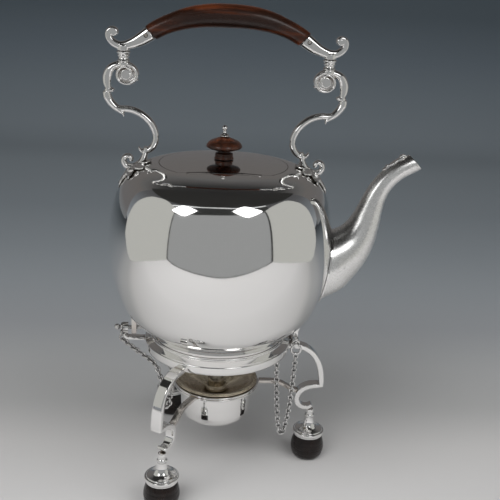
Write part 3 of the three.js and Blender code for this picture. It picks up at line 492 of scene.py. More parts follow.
def cottonFinish(name):
    material, tree, shader = newMaterial(name)
    place = objectPlace(tree)
    strands = node(tree, 'TexWave', {
        "Vector": place, "Scale": 420.0, "Distortion": 4.0, "Detail": 3.0}).outputs["Fac"]
    fibre = colourMix(tree, strands, (0.52, 0.46, 0.36, 1), (0.72, 0.67, 0.56, 1))
    burnt = mapRange(tree, noise(tree, place, 320.0, 4.0), 0.45, 0.6, 0.0, 0.7)
    bumps = node(tree, 'Bump', {"Height": strands, "Strength": 0.6, "Distance": 0.0004})
    fed(tree, shader, {"Base Color": colourMix(tree, burnt, fibre, (0.16, 0.11, 0.07, 1)), "Roughness": 0.95,
                       "Normal": bumps.outputs["Normal"]})
    return material


# Each silver's hollow amount sets how far its hollows are darkened: tarnish plus painted shade
mirrorSilver = silver("mirror silver", hollow=0.25, reach=0.002, bump=0.012)
spoutSilver = silver("spout silver", hollow=0.25, reach=0.002, bump=0.012, polish=0.24, worn=0.34)
castSilver = silver("cast silver", hollow=0.9, film=0.04, reach=0.0018, bump=0.05,
                    tarnish=(0.16, 0.115, 0.075, 1))
standSilver = silver("stand silver", hollow=0.6, film=0.04)
bracketSilver = silver("tarnished silver", hollow=0.7, film=0.55, bump=0.06, worn=0.2)
dishSilver = silver("flame-stained silver", film=0.5, reach=0.008, bump=0.05, polish=0.1, worn=0.26,
                    clean=(0.78, 0.71, 0.56, 1))
# The chain's near-black colour darkens its hollows to paint the shadow inside the links; the patchy film over
# the links is tarnish
chainSilver = silver("chain silver", hollow=1.0, film=0.3, bump=0.05, worn=0.16,
                     tarnish=(0.02, 0.015, 0.011, 1))
gripWood = woodFinish("grip wood", (0.135, 0.032, 0.009, 1), (0.015, 0.005, 0.0025, 1), (0.10, 1, 1), 0.22)
knobWood = woodFinish("knob wood", (0.13, 0.036, 0.013, 1), (0.016, 0.006, 0.0035, 1), (1, 1, 0.35), 0.3)
bunWood = woodFinish("bun wood", (0.016, 0.009, 0.007, 1), (0.006, 0.004, 0.0035, 1), (1, 1, 0.3), 0.2)
wickCotton = cottonFinish("wick cotton")
print("materials done")


# Kettle body, lid, ledge and flush hinge
bodyShape = {
    "outline": [(0, 111), (16, 111), (32, 111.02), (39, 111.3), (43, 112.2), (47, 113.5), (55, 117.5),
        (62, 122), (68, 128), (72.6, 135.5), (76.6, 146.1), (80, 158.5), (81.7, 170), (82, 181),
        (81.3, 193), (79.6, 204.7), (77, 215.5), (73.6, 224.3), (69, 231.2), (62.5, 236), (54, 238.95),
        (46, 240.35), (30, 242.05), (15, 243.2), (0, 243.6)],
    "wall": 1.2, "sides": 160, "step": 1.6, "ease": 5, "lidRadius": 46, "lidChord": 36, "seam": 0.4,
    "barrel": 1.7, "barrelHalf": 25, "knuckleHalf": 11.9, "barrelZ": 239.867, "pin": 0.8,
    "slot": (-37.95, -34), "leaf": (-1.5, -2.8), "leafBack": 6, "openingEdge": 2.6, "lidEdge": 2.0,
}
bodySides = bodyShape["sides"]
bodyLine = eased(smoothLine(bodyShape["outline"], bodyShape["step"]), bodyShape["ease"])
lidLow, lidHigh = 225, 262  # heights that a tool has to span to cut right through the top


def bodySolid(name, grow=0.0, sides=96):
    line = offsetLine(bodyLine, grow)
    return spun(name, [(0, line[0][1])] + line[1:-1] + [(0, line[-1][1])], sides)


def lidTool(name, radius, edge):
    tool = rodUp(name, radius, 0, lidLow, lidHigh, sides=bodySides)
    openEdit(tool)
    bpy.ops.mesh.bisect(plane_co=(0, -edge, 0), plane_no=(0, 1, 0), use_fill=True, clear_inner=True)
    closeEdit()
    faceOut(tool)
    return tool


def bodyShell(name):
    return cut(bodySolid(name, sides=bodySides), bodySolid("hollow", -bodyShape["wall"]))


spoutShape = {
    "rows": [(52, 151.8, 22), (61, 157.6, 23.4), (69.7, 162.8, 24), (76, 165.9, 23.9), (82.2, 170.4, 23.2),
        (93, 178.4, 18.7), (100.4, 187.3, 14.7), (105.6, 198.8, 11.5), (108.8, 209.9, 9.5),
        (112.2, 220.7, 8.05), (117.6, 230.4, 7.2), (125.5, 238.6, 6.9), (133, 243.2, 6.8), (139, 246.3, 6.6)],
    "wall": 1.2, "sides": 64, "mouthTurn": 0.3, "collarThick": 1.5, "collarWidth": 2.0, "collarEnd": 92,
}
spoutLine = eased(smoothLine(spoutShape["rows"], 2.0), 2)


def spoutBore(name):
    wall = spoutShape["wall"]
    rows = [(x, z, half - wall) for x, z, half in spoutLine]
    (x0, z0, _), (x1, z1, half) = rows[-3], rows[-1]
    far = 8 / dist((x0, z0), (x1, z1))
    rows.append((x1 + (x1 - x0) * far, z1 + (z1 - z0) * far, half + 0.5))
    return swept(name, rows, sides=spoutShape["sides"])


knobShape = {
    "hole": 1.8,
    "neck": [(1.8, 243.9), (6.9, 243.9), (7.1, 244.5), (6.7, 245), (6.45, 245.4), (6.45, 246.2), (6.2, 246.4),
        (6.45, 246.6), (6.45, 247.6), (6.1, 248.1), (4.6, 248.4), (4.3, 248.8), (4.3, 249.6), (1.8, 249.6)],
    "cap": [(1.8, 249.9), (5.2, 249.9), (7.4, 250.2), (11.4, 251.4), (12.7, 252.3), (12.9, 253),
        (12.4, 254.5), (11, 256), (9.1, 257.2), (8.6, 257.25), (6.4, 258.3), (4, 259.2), (1.8, 259.7)],
    "finial": [(0, 239.9), (1.5, 239.9), (1.5, 260), (3.3, 260), (3.4, 260.5), (2.9, 261.2), (1.9, 261.8),
        (1.3, 262.8), (1.05, 263.6), (1.25, 264), (1.2, 264.4), (1.75, 265.1), (1.95, 265.9), (1.75, 266.8),
        (1.1, 267.6), (0, 268)],
}

b = bodyShape
chord = b["lidChord"]
body = bodyShell("kettle_body_skin")
slotHalf = b["barrelHalf"] + 0.25
slot = block("slot", (-slotHalf, b["slot"][0], lidLow), (slotHalf, b["slot"][1], lidHigh))
cut(body, lidTool("opening", b["lidRadius"] + b["seam"], chord - b["openingEdge"]), slot,
    spoutBore("bore"))
finished(body, "kettle", "kettle_body", mirrorSilver, angle=35)

lid = bodyShell("lid_skin")
cut(lid, lidTool("lid blank", b["lidRadius"], chord - b["lidEdge"]), how='INTERSECT')
cut(lid, rodUp("bolt hole", knobShape["hole"], 0, lidLow, lidHigh))
finished(lid, "lid", "lid", mirrorSilver, angle=35)


def leafUnder(name, low, high):
    shell = bodySolid(name, b["leaf"][0])
    cut(shell, bodySolid("under", b["leaf"][1]))
    return cut(shell, block("room", (*low, lidLow), (*high, lidHigh)), how='INTERSECT')


def hingeRod(name, radius, low, high, **more):
    return rod(name, 'x', radius, (low, -chord, b["barrelZ"]), (high, -chord, b["barrelZ"]), **more)


pinHole = hingeRod("pin hole", b["pin"], -40, 40, sides=24)
for label, cadNode, low, high, back, bodyName in (
        ("left", "hinge_knuckle_left", -b["barrelHalf"], -b["knuckleHalf"] - gap, -42, "kettle"),
        ("right", "hinge_knuckle_right", b["knuckleHalf"] + gap, b["barrelHalf"], -42, "kettle"),
        ("middle", "lid_knuckle", -b["knuckleHalf"], b["knuckleHalf"], -36, "lid")):
    knuckle = hingeRod("knuckle_" + label, b["barrel"], low, high, sides=40, soft=0.15)
    cut(knuckle, bodySolid("flush", -0.05), how='INTERSECT')
    cut(knuckle, leafUnder("leaf", (low, back), (high, back + b["leafBack"])), how='UNION')
    cut(knuckle, pinHole, keep=True)
    finished(knuckle, bodyName, cadNode, mirrorSilver, angle=35)
bpy.data.objects.remove(pinHole)
print("body and lid done")


# Knob: turned wooden neck and cap with a silver finial bolted through them
for part, slotName, material in (
        ("neck", "wood", knobWood), ("cap", "wood", knobWood), ("finial", "silver", castSilver)):
    piece = turned("knob_" + part + "_turned", knobShape[part], 0.5, 64)
    finished(piece, "lid", "knob_" + part, material, angle=50)
print("knob done")


# Spout with its collar and leaf
def dressSpout():
    s = spoutShape
    outer = swept("spout_skin", spoutLine, sides=s["sides"], endTurn=s["mouthTurn"])
    cut(outer, bodySolid("body room", gap, bodySides), spoutBore("bore"))
    bevelEdges(outer, 0.3, segments=2, angle=50)
    finished(outer, "kettle", "spout", spoutSilver, angle=40)

    band = bodySolid("spout_collar_skin", s["collarThick"], bodySides)
    cut(band, bodySolid("under", gap, bodySides))
    root = [row for row in spoutLine if row[0] < s["collarEnd"]]
    wide = swept("wide", [(x, z, half + s["collarWidth"]) for x, z, half in root], sides=64)
    narrow = swept("narrow", [(x, z, half + 0.15) for x, z, half in root], sides=64)
    cut(band, wide, how='INTERSECT')
    cut(band, narrow, block("beyond", (-90, -90, 90), (70, 90, 260)))
    bevelEdges(band, 0.45, angle=50)
    finished(band, "kettle", "spout_collar", mirrorSilver, angle=40)


leafShape = {
    "spine": [(115.2, 239.6, 0.3), (118, 241.3, 0.8), (121.5, 243.6, 1), (125, 246.2, 1.1),
        (128.2, 248.6, 1.1), (130.6, 249.8, 1), (132.6, 249.8, 0.7), (133.9, 251.2, 0.35)],
    "curls": [[(120.5, 242.6, 0.5), (118.6, 243.2, 0.45), (117.2, 242.4, 0.25)],
        [(127, 247.6, 0.7), (127.6, 250.2, 0.6), (129.8, 251.3, 0.5), (131.6, 250.3, 0.45), (131, 249, 0.3)]],
    "width": 5.2,
}


def dressLeaf():
    spine = strip("spine", leafShape["spine"], 0.8, leafShape["width"], 0.4)
    for co in spots(spine):  # the leaf narrows to its root and lobes along its edges
        along = (co.x - 115) / 19
        co.y *= 0.45 + 0.55 * sin(pi * min(max(along, 0.02), 1)) + 0.14 * sin(along * 19)
    curls = [strip("curl", rows, 0.5, 3.2, 0.4) for rows in leafShape["curls"]]
    leaf = castTogether("spout_leaf_cast", [spine] + curls, grain=0.25, passes=3)
    finished(leaf, "kettle", "spout_leaf", castSilver, angle=0)


dressSpout()
dressLeaf()
print("spout done")


# Overhead handle
neckX = 70.9
gripShape = {
    "span": 52.2, "rise": 13.4, "top": 342, "middle": 8, "end": 5.05, "power": 2.5, "flat": 2.7,
    "slant": 0.27,
}


def gripLine(x):
    g = gripShape
    return g["top"] - g["rise"] * abs(x / g["span"]) ** g["power"]


def dressGrip():
    g = gripShape
    count = 44
    rows = []
    for i in range(count + 1):
        share = 2 * i / count - 1
        x = share * g["span"]
        rows.append((x, gripLine(x), g["middle"] + (g["end"] - g["middle"]) * share ** 2))
    grip = swept("grip_carved", rows, sides=48)
    for co in spots(grip):  # squared a little, as a grip is: flat sides with soft arrises
        centre = gripLine(co.x)
        high, side = co.z - centre, co.y
        reach = hypot(high, side)
        if reach < 0.01:
            continue
        spread = (abs(high / reach) ** g["flat"] + abs(side / reach) ** g["flat"]) ** (-1 / g["flat"])
        square = 1 + (spread - 1) * 0.45
        co.y = side * square
        co.z = centre + high * square * (0.97 if high > 0 else 1)
        nearEnd = min(max((abs(co.x) - 40) / 12, 0), 1)
        co.x += copysign(g["slant"], co.x) * nearEnd * (co.z - centre)
    bevelEdges(grip, 0.5, angle=50)
    finished(grip, "kettle", "grip", gripWood, angle=40)


socketShape = {
    "rows": [(52.4, 328.5, 5), (58.2, 324.6, 4.6), (63.5, 321.8, 3.7), (67.8, 320.2, 3.2), (71.6, 319.5, 2.8),
        (75.2, 319.9, 2.6), (78.4, 321.8, 2.5), (80.6, 324.8, 2.4), (80.7, 328.2, 2.2), (78.6, 330.3, 1.8),
        (76, 329.6, 1.5), (75.6, 327.6, 1.4), (77, 326.9, 1.5)],
    "width": 9, "foot": (4.4, neckX, 316.2, 320), "eye": (1.9, 77.2, 327.6, 3.6), "rivet": (55.5, 326.95),
    "rivetRadius": 1.2, "rivetHalf": 3.9,
}


def dressSocket(side):
    g, h = gripShape, socketShape
    socket = strip("socket", h["rows"], 0.9, h["width"], 0.3)
    for co in spots(socket):  # wide at the wood, narrower at the curl
        co.y *= 1 - 0.24 * min(max((co.x - 54) / 20, 0), 1)
    strips = [socket, rodUp("foot", *h["foot"]), rodAcross("eye", *h["eye"], sides=28)]
    piece = castTogether("grip_socket_cast_" + side, strips, grain=0.36, passes=5)
    x, z = h["rivet"]
    end = gripLine(g["span"])
    slope = (end - gripLine(g["span"] - 0.2)) / 0.2
    face = block("face", (-6, -9, -9), (gap, 9, 9))
    turnedAndMoved(face, atan(slope) - g["slant"], (g["span"], 0, end))
    cut(piece, face, rodAcross("hole", h["rivetRadius"] + gap, x, z, 9))
    rivet = rodAcross("grip_rivet_domed_" + side, h["rivetRadius"], x, z, h["rivetHalf"], soft=0.3)
    if side == "far_side":
        for made in (piece, rivet):
            faceOut(placeMesh(made, scale=(-1, 1, 1)))
    finished(piece, "kettle", "grip_socket_" + side, castSilver)
    finished(rivet, "kettle", "grip_rivet_" + side, bracketSilver, angle=35)


scrollShape = {
    "volute": (69.2, 300.4), "voluteOuter": 7, "voluteInner": 2.8, "voluteTurns": 1.25, "button": 3.5,
    "low": 1.3, "width": 6.4,
    "band": [(69.9, 307.4, 1.5), (75.4, 306.6, 2), (79.8, 303.8, 2.4), (82, 299.2, 2.7), (82.3, 294.4, 2.5),
        (81.4, 290.4, 1.7)],
    "shoulder": [(82.4, 288.3, 2.3), (82.4, 285.4, 2.5), (80.2, 281.4, 2.3), (77, 278, 2.1),
        (73.4, 275.4, 1.7), (71.4, 273.5, 1), (70.6, 271.4, 0.35)],
    "joint": (81, 289.2),
    "spur": [(82.6, 291, 1.3), (80.4, 289.6, 1.5), (78.6, 289.4, 1.3), (77.8, 290.2, 0.9)],
    "flick": [(62.6, 299.6, 1.1), (61.9, 297.4, 0.8), (60.9, 296.4, 0.3)],
    "belly": [(77.6, 277.8, 1.2), (72.4, 276.6, 1.9), (68.4, 276.6, 1.95), (63.4, 275.6, 2),
        (57.5, 272.6, 2.05), (52.3, 267.6, 2.05), (49.2, 261.4, 2), (48.6, 255.8, 1.95), (50.6, 250.9, 1.9),
        (54.4, 247.8, 1.75), (57.6, 247.2, 1.4), (59.8, 248.6, 0.8), (60.6, 250.3, 0.35)],
    "stem": [(55.6, 250.4, 1.2), (56, 247.2, 1.6), (56.8, 243.6, 1.75), (58.8, 239.7, 1.85), (61.8, 237, 2),
        (65.4, 235.6, 2.1), (69.2, 236.4, 2), (71.3, 239.3, 1.85), (70.5, 242.4, 1.7), (67.8, 243.6, 1.5),
        (65.7, 241.9, 1.3), (66.3, 240.2, 1.2)],
}


def fattened(points, step=1.0):
    return [(x, z, half * 1.12) for x, z, half in smoothLine(points, step)]


def scrollVolute():
    s = scrollShape
    cx, cz = s["volute"]
    rows = []
    steps = 54
    for i in range(steps + 1):
        share = i / steps
        angle = quarter + (1 - share) * s["voluteTurns"] * fullTurn
        reach = s["voluteInner"] + (s["voluteOuter"] - s["voluteInner"]) * share ** 0.4
        low = s["low"] * share * sin(pi * min((1 - share) * s["voluteTurns"], 1))
        rows.append((cx + (reach + low) * cos(angle), cz + reach * sin(angle), 0.9 + 0.6 * share))
    return rows + fattened(s["band"])[1:]


def dressScroll():
    s = scrollShape
    lines = [scrollVolute()] + [fattened(s[key]) for key in ("shoulder", "spur", "flick", "belly", "stem")]
    strips = [swept("strip", rows, width=s["width"], sides=24, crowned=True) for rows in lines]
    (cx, cz), (jx, jz) = s["volute"], s["joint"]
    strips += [rodAcross("disc", s["voluteOuter"] - 0.8, cx, cz, 1.2, sides=40),
               rodAcross("button", s["button"], cx, cz, 2.8, sides=40),
               rodUp("knot", 3.3, jx, jz - 0.8, jz + 0.8, sides=28),
               rodUp("neck", 4.1, neckX, 306.4, 308.9, sides=28)]
    scroll = castTogether("handle_scroll_cast", strips, grain=0.32, passes=3)
    return cut(scroll, bodySolid("shoulder room", 2.4))


footShape = {
    "petals": 7, "reach": 11.5, "lobe": 0.22, "stretch": (0.86, 1.5), "x": 63.5, "thick": 1.9,
    "low": 200, "tall": 60, "vein": 0.16, "crown": 0.9, "drop": 0.3, "most": 0.35,
}


def dressFoot():
    f = footShape
    pickNothing()
    bpy.ops.mesh.primitive_circle_add(vertices=168, radius=1, fill_type='NGON', location=(0, 0, 0))
    blank = named("foot_blank")
    for co in spots(blank):
        angle = atan2(co.y, co.x)
        lobe = 1 + f["lobe"] * cos(f["petals"] * (angle + pi))
        co.x = f["x"] + f["stretch"][0] * f["reach"] * lobe * cos(angle)
        co.y = f["stretch"][1] * f["reach"] * lobe * sin(angle)
        co.z = f["low"]
    openEdit(blank)
    extrude(0, 0, f["tall"])
    closeEdit()
    faceOut(blank)
    foot = bodySolid("handle_foot_cast", gap + f["thick"], bodySides)
    cut(foot, bodySolid("under", gap, bodySides))
    cut(foot, blank, how='INTERSECT')
    foot = castTogether("handle_foot_cast", [foot], grain=0.4, passes=5)
    for vertex in foot.data.vertices:  # veins run out along the petals, and the tips thin
        dx, dy = (vertex.co.x - f["x"]) / f["stretch"][0], vertex.co.y / f["stretch"][1]
        angle, reach = atan2(dy, dx), hypot(dx, dy) / f["reach"]
        vein = cos(f["petals"] * 2 * (angle + pi)) * min(reach, 1) * f["vein"]
        crown = (f["crown"] - reach) * f["crown"]
        outward = Vector((vertex.co.x, vertex.co.y, 0)).normalized() * 0.55 + Vector((0, 0, 0.83))
        if vertex.normal.dot(outward) > 0.3:
            vertex.co += outward * min(vein + crown - f["drop"], f["most"])
    return foot


collarShape = [
    (0, 309), (4.3, 309), (4.45, 309.6), (3.9, 310.2), (3.55, 311.2), (3.65, 312), (4.2, 312.6),
    (4.3, 313.2), (4, 313.7), (4.3, 314.2), (4.7, 314.8), (4.75, 315.4), (4.3, 315.9), (0, 315.9)]


def dressHandle():
    dressGrip()
    for side in ("spout_side", "far_side"):
        dressSocket(side)
    scroll, foot = dressScroll(), dressFoot()
    collar = placeMesh(turned("handle_collar_turned", collarShape, 0.4, 48), move=(neckX, 0, 0))
    for piece, cadNode, angle in (
            (scroll, "handle_scroll", 45), (foot, "handle_foot", 0), (collar, "handle_collar", 50)):
        twin = copied(piece, piece.name + "_far_side", mirrored=True)
        piece.name += "_spout_side"
        finished(piece, "kettle", cadNode + "_spout_side", castSilver, angle=angle)
        finished(twin, "kettle", cadNode + "_far_side", castSilver, angle=angle)


dressHandle()
print("handle done")


# Stand: moulded ring, legs, feet
footX = 76.2
ringShape = [
    (45.2, 97.3), (45.2, 112.2), (46.6, 112.75), (47.1, 112.75), (47.5, 112.2), (47.9, 111.5),
    (48.6, 110.7), (49.4, 110.05), (49.8, 109.9), (50.1, 110), (50.6, 110.15), (51.3, 109.95),
    (51.8, 109.4), (51.85, 108.8), (51.6, 108.3), (52.1, 107.9), (54.6, 105.85), (55.3, 105.4),
    (55.8, 104.9), (55.9, 104.3), (55.9, 102), (55.8, 100.2), (55.2, 98.9), (53.8, 98.2), (52.6, 98.3),
    (51.9, 97.6), (50.6, 97.3)]


def ringRoom():
    return spun("ring room", offsetLine(ringShape + [ringShape[0]], 0.25), 96)


legShape = {
    "knee": [(53, 98.3, 2), (57, 98.5, 2), (62.2, 98.4, 2), (67.4, 97.2, 2), (72, 94.6, 2), (76, 90.8, 2),
        (79.2, 85.6, 2.05), (81.4, 79.6, 2.1), (82.6, 73.2, 2.1), (83.2, 67.4, 1.9), (83.4, 64.6, 1.4)],
    "scroll": [(85, 64.2, 0.5), (82.2, 64.2, 1.3), (77.6, 64, 1.8), (72.6, 62.8, 1.95), (68.2, 60.2, 2),
        (65.4, 56.4, 2), (64.6, 51.8, 2), (65.8, 47.8, 2), (68.6, 45.2, 1.9), (72.2, 44.2, 1.8),
        (75.2, 44.9, 1.6), (77, 46.5, 1.1)],
    "width": 8.5,
}
legTurns = {"spout_side": 0, "front": radians(-120), "back": radians(120)}


def dressLeg():
    knee = strip("knee", legShape["knee"], 1.2, legShape["width"], 0.16)
    scroll = strip("scroll", legShape["scroll"], 1.0, legShape["width"], 0.16)
    for co in spots(scroll):  # the lower scroll narrows towards the foot
        co.y *= 1 - 0.22 * min(max((64 - co.z) / 20, 0), 1)
    leg = castTogether("leg_forged", [knee, scroll], grain=0.42, passes=4)
    return cut(leg, ringRoom(), rod("cap room", 'z', 4.2, (footX, 0, 30), (footX, 0, 42.45)))


bracketShape = {
    "rows": [(65.4, 58.6, 1.4), (61.6, 59.3, 1.5), (57, 61.8, 1.5), (51.4, 64.9, 1.5), (44.6, 66.3, 1.5),
        (38, 66.4, 1.5), (33.6, 66.4, 1.4)],
    "width": 5,
}


def dressBracket():
    bracket = strip("lamp_bracket_forged", bracketShape["rows"], 1.2, bracketShape["width"], 0.2)
    room = spun("room", [(28, 64.1), (33.6, 64.1), (33.6, 68.2), (28, 68.2)], 64, closed=True)
    around = smoothLine([(x, z, half + gap) for x, z, half in legShape["scroll"]], 1.2)
    legRoom = swept("leg room", around, width=10)
    return largestPiece(cut(bracket, room, legRoom))


def largestPiece(piece):
    openEdit(piece)
    bpy.ops.mesh.separate(type='LOOSE')
    closeEdit()
    loose = sorted(bpy.context.selected_objects, key=lambda bit: -len(bit.data.vertices))
    for bit in loose[1:]:
        bpy.data.objects.remove(bit)
    return loose[0]


footCapShape = [
    (0, 8.8), (2.3, 8.8), (2.3, 19.6), (11, 19.6), (11.9, 19.9), (12.1, 20.6), (11.8, 21.2), (12.5, 21.7),
    (12.7, 22.6), (12.6, 23.5), (12, 24), (11.3, 24.1), (11.1, 24.6), (10.6, 25), (9.2, 25.5), (7.2, 26.6),
    (5.4, 28.2), (4.3, 30.2), (3.7, 32.6), (3.45, 34.6), (3.8, 35.5), (4.05, 36.3), (3.7, 37.2),
    (2.9, 37.9), (2.7, 38.8), (3.1, 39.6), (3.2, 40.4), (2.95, 41.2), (2.95, 42.2), (0, 42.2)]
bunShape = [
    (0, 0), (9.2, 0), (10.6, 0.9), (11.8, 2.4), (12.5, 4.2), (12.62, 4.6), (12.95, 5.6), (13.2, 7.4), (13.22,
    7.7), (13.3, 8.8), (13.22, 10.6), (13.12, 10.9), (13, 11.9), (12.6, 14), (12.42, 14.4), (12, 15.9), (11.2,
    17.6), (10.4, 18.8), (9.6, 19.3), (2.6, 19.3), (2.6, 8.5), (0, 8.5)]


def groovedBun():
    line = []
    for r, z in smoothLine(bunShape[1:-4], 0.35):
        groove = sum(0.28 * exp(-((z - at) / 0.28) ** 2) for at in (5.2, 9.6, 13.6))
        line.append((r - groove, z))
    return [(0, 0)] + line + softCorners(bunShape[-4:], 0.1)


def dressStand():
    finished(turned("stand_ring_turned", ringShape, 0.5, 160), "stand", "stand_ring", standSilver)
    leg, bracket = dressLeg(), dressBracket()
    cap = placeMesh(turned("foot_cap_turned", footCapShape, 0.45, 64), move=(footX, 0, 0))
    bun = placeMesh(spun("foot_bun_turned", groovedBun(), 64), move=(footX, 0, 0))
    for piece, cadNode, material, slotName, angle in (
            (leg, "leg", standSilver, "silver", 45), (bracket, "lamp_bracket", bracketSilver, "silver", 45),
            (cap, "foot_cap", castSilver, "silver", 45), (bun, "foot_bun", bunWood, "dark_wood", 50)):
        for place, turn in legTurns.items():
            twin = copied(piece, piece.name + "_" + place, turnZ=turn)
            finished(twin, "stand", cadNode + "_" + place, material, angle=angle)
        bpy.data.objects.remove(piece)


dressStand()
print("stand done")


# Spirit lamp
lampShapes = {
    "lamp_ring": ("stand", standSilver, [
        (28.3, 64.4), (32.6, 64.4), (33.1, 64.8), (33.3, 65.5), (33, 66), (32.5, 66.2), (32.6, 66.5),
        (33.1, 66.8), (33.2, 67.3), (32.7, 67.9), (28.3, 67.9)]),
    "lamp_pot": ("lamp", standSilver, [
        (0, 36.5), (16, 36.5), (20.6, 37.2), (24, 38.9), (26.2, 41.6), (27.3, 45.2), (27.6, 49.5),
        (27.7, 54.5), (27.7, 67.9), (26.7, 67.9), (26.7, 54.5), (26.6, 49.6), (26.3, 45.6), (25.3, 42.3),
        (23.4, 39.8), (20.4, 38.2), (16, 37.5), (0, 37.5)]),
    "lamp_dish": ("lamp", dishSilver, [
        (6.3, 58), (8.9, 58), (20, 61.9), (26.4, 67.2), (26.4, 68.2), (31, 68.2), (31.9, 68.5), (32.25, 69),
        (32.2, 69.6), (31.6, 70), (31.7, 70.3), (31.3, 70.6), (30.2, 70.6), (29.6, 70.2), (29.2, 69.5),
        (26.6, 67.8), (25.9, 67.7), (22.2, 65.3), (21.6, 65.2), (17.6, 63), (17, 62.9), (12.6, 60.6),
        (12, 60.5), (8.9, 59), (6.3, 59)]),
    "wick_tube": ("burner", dishSilver, [
        (5.2, 53), (6, 53), (6, 59.3), (8.4, 59.3), (8.6, 59.8), (8.3, 60.4), (8.5, 61), (8.2, 61.7),
        (7, 62.2), (6.5, 62.9), (6.3, 66.8), (6.7, 67.2), (6.7, 68), (6.3, 68.3), (5.2, 68.3)]),
}


def dressLamp():
    for name, (bodyName, material, outline) in lampShapes.items():
        finished(turned(name + "_turned", outline, 0.35, 112), bodyName, name, material)
    tuft = spun("wick_woven", [(0, 53), (4.8, 53)] + [(4.8, 53 + k) for k in range(1, 16)] +
                [(4.6, 69.3), (4.0, 70.2), (2.8, 70.6), (1.4, 70.5), (0, 70.4)], 40)
    for co in spots(tuft):  # bundled strands with a ragged top
        angle, reach = atan2(co.y, co.x), hypot(co.x, co.y)
        if reach > 0.1:
            co.xy *= 1 - 0.05 * (0.5 + 0.5 * cos(10 * angle + co.z * 0.5))
        if co.z > 69:
            co.z -= 0.45 * (0.5 + 0.5 * sin(7 * angle + reach * 2.4))
    finished(tuft, "burner", "wick", wickCotton, angle=0)


dressLamp()
print("lamp done")


# Lugs, eyes, pins and chains
pinShape = {
    "radius": 1.5, "bore": 1.6, "x": 60, "z": 104, "eye": 3.3, "kettleEye": 7.6, "standEye": 4.6, "end": 9.9,
    "ringY": -13.3, "ring": (3.6, 0.9), "shoulder": (3.0, -10.2, -8.8), "lockZ": 110, "lockPlate": 64,
    "lockEye": 70.6, "plateHalf": (1.8, 4.6), "tip": 58.5, "shaft": 14.4, "loop": (1.85, 0.75), "hang": 3.45,
    "loopX": -73.6, "armLow": 100.7, "armHigh": 103.2,
    "arm": [(60, 104, 2.4), (60.2, 107.4, 2), (60.6, 112, 2), (61.6, 116.4, 2.8), (63, 120.6, 4.8),
        (63.4, 122.4, 5.6)],
    "head": [(3.4, 0), (3.6, 0.4), (3.4, 1.2), (2.2, 1.5), (1.35, 1.9), (1.5, 2.4), (2.25, 3.2), (2.4, 4.3),
        (1.9, 5.6), (1.0, 6.4), (0, 6.7)],
}


def pinBore(axis):
    p = pinShape
    start, end = ((p["x"], -19, p["z"]), (p["x"], 19, p["z"])) if axis == 'y' else (
        (-90, 0, p["lockZ"]), (-30, 0, p["lockZ"]))
    return rod("hole", axis, p["bore"], start, end)


def dressHingeLugs():
    p = pinShape
    x, z, half = p["x"], p["z"], p["kettleEye"] / 2
    eye = rodAcross("eye", p["eye"], x, z, half, sides=48)
    arm = strip("arm", p["arm"], 1.0, p["kettleEye"], 0.2)
    lug = castTogether("kettle_hinge_lug_cast", [eye, arm], grain=0.36, passes=3)
    cut(lug, bodySolid("body room", gap), pinBore('y'))
    finished(largestPiece(lug), "kettle", "kettle_hinge_lug", castSilver)
    for place, sign in (("front", -1), ("back", 1)):
        low, high = sorted((sign * (half + gap), sign * (half + gap + p["standEye"])))
        eye = rod("eye", 'y', p["eye"], (x, low, z), (x, high, z), sides=48)
        cut(eye, block("arm", (53.6, low, p["armLow"]), (x, high, p["armHigh"])), how='UNION')
        cut(eye, ringRoom(), block("leg room", (40, -4.6, 94), (90, 4.6, 100.9)), pinBore('y'))
        eye = bevelEdges(largestPiece(eye), 0.35, angle=40)
        eye.name = "stand_hinge_eye_" + place + "_filed"
        finished(eye, "stand", "stand_hinge_eye_" + place, castSilver)


def dressLockLugs():
    p = pinShape
    z, lockX, eyeX, (thick, half) = p["lockZ"], p["lockPlate"], p["lockEye"], p["plateHalf"]
    plate = block("kettle_lock_lug_filed", (-lockX - thick, -half, 106.4), (-lockX + thick, half, 130))
    slot = block("slot", (-90, -p["bore"], 95), (-30, p["bore"], z))
    cut(plate, bodySolid("body room", gap), slot, pinBore('x'))
    eye = rod("stand_lock_eye_cast", 'x', 4.0, (-eyeX - 2, 0, z), (-eyeX + 2, 0, z), sides=48)
    cut(eye, block("post", (-eyeX - 2, -2, 100.4), (-eyeX + 2, 2, z)),
        block("arm", (-eyeX - 2, -2, 100.4), (-54, 2, p["armHigh"])), how='UNION')
    cut(eye, ringRoom(), pinBore('x'))
    for piece, body, cadNode, material in ((plate, "kettle", "kettle_lock_lug", bracketSilver),
                                           (eye, "stand", "stand_lock_eye", castSilver)):
        finished(bevelEdges(largestPiece(piece), 0.5, angle=40), body, cadNode, material)


def dressPins():
    p = pinShape
    x, z, ringY, (ring, wire) = p["x"], p["z"], p["ringY"], p["ring"]
    hingePin = rod("shaft", 'y', p["radius"], (x, ringY - wire, z), (x, p["end"], z), sides=40, soft=0.3)
    radius, low, high = p["shoulder"]
    shoulder = rod("shoulder", 'y', radius, (x, low, z), (x, high, z), sides=40, soft=0.4)
    cut(hingePin, shoulder, loop("ring", 'y', ring, wire, (x, ringY, z - ring)), how='UNION')
    outline = [(0, 0), (1.1, 0), (1.5, 0.5), (1.5, p["shaft"])]
    outline += [(r, p["shaft"] + up) for r, up in p["head"]]
    lockPin = turned("pin", outline, 0.35, 48)
    turnedAndMoved(lockPin, quarter, (-p["tip"], 0, p["lockZ"]))
    middle = (p["loopX"], -p["hang"], p["lockZ"] - p["hang"])
    cut(lockPin, loop("loop", 'x', *p["loop"], middle, around=32, across=10), how='UNION')
    for piece, pinName, end in ((hingePin, "hinge_pin", "_with_ring"), (lockPin, "lock_pin", "_with_loop")):
        piece = finished(largestPiece(piece), pinName, pinName, chainSilver)
        piece.name = pinName + end


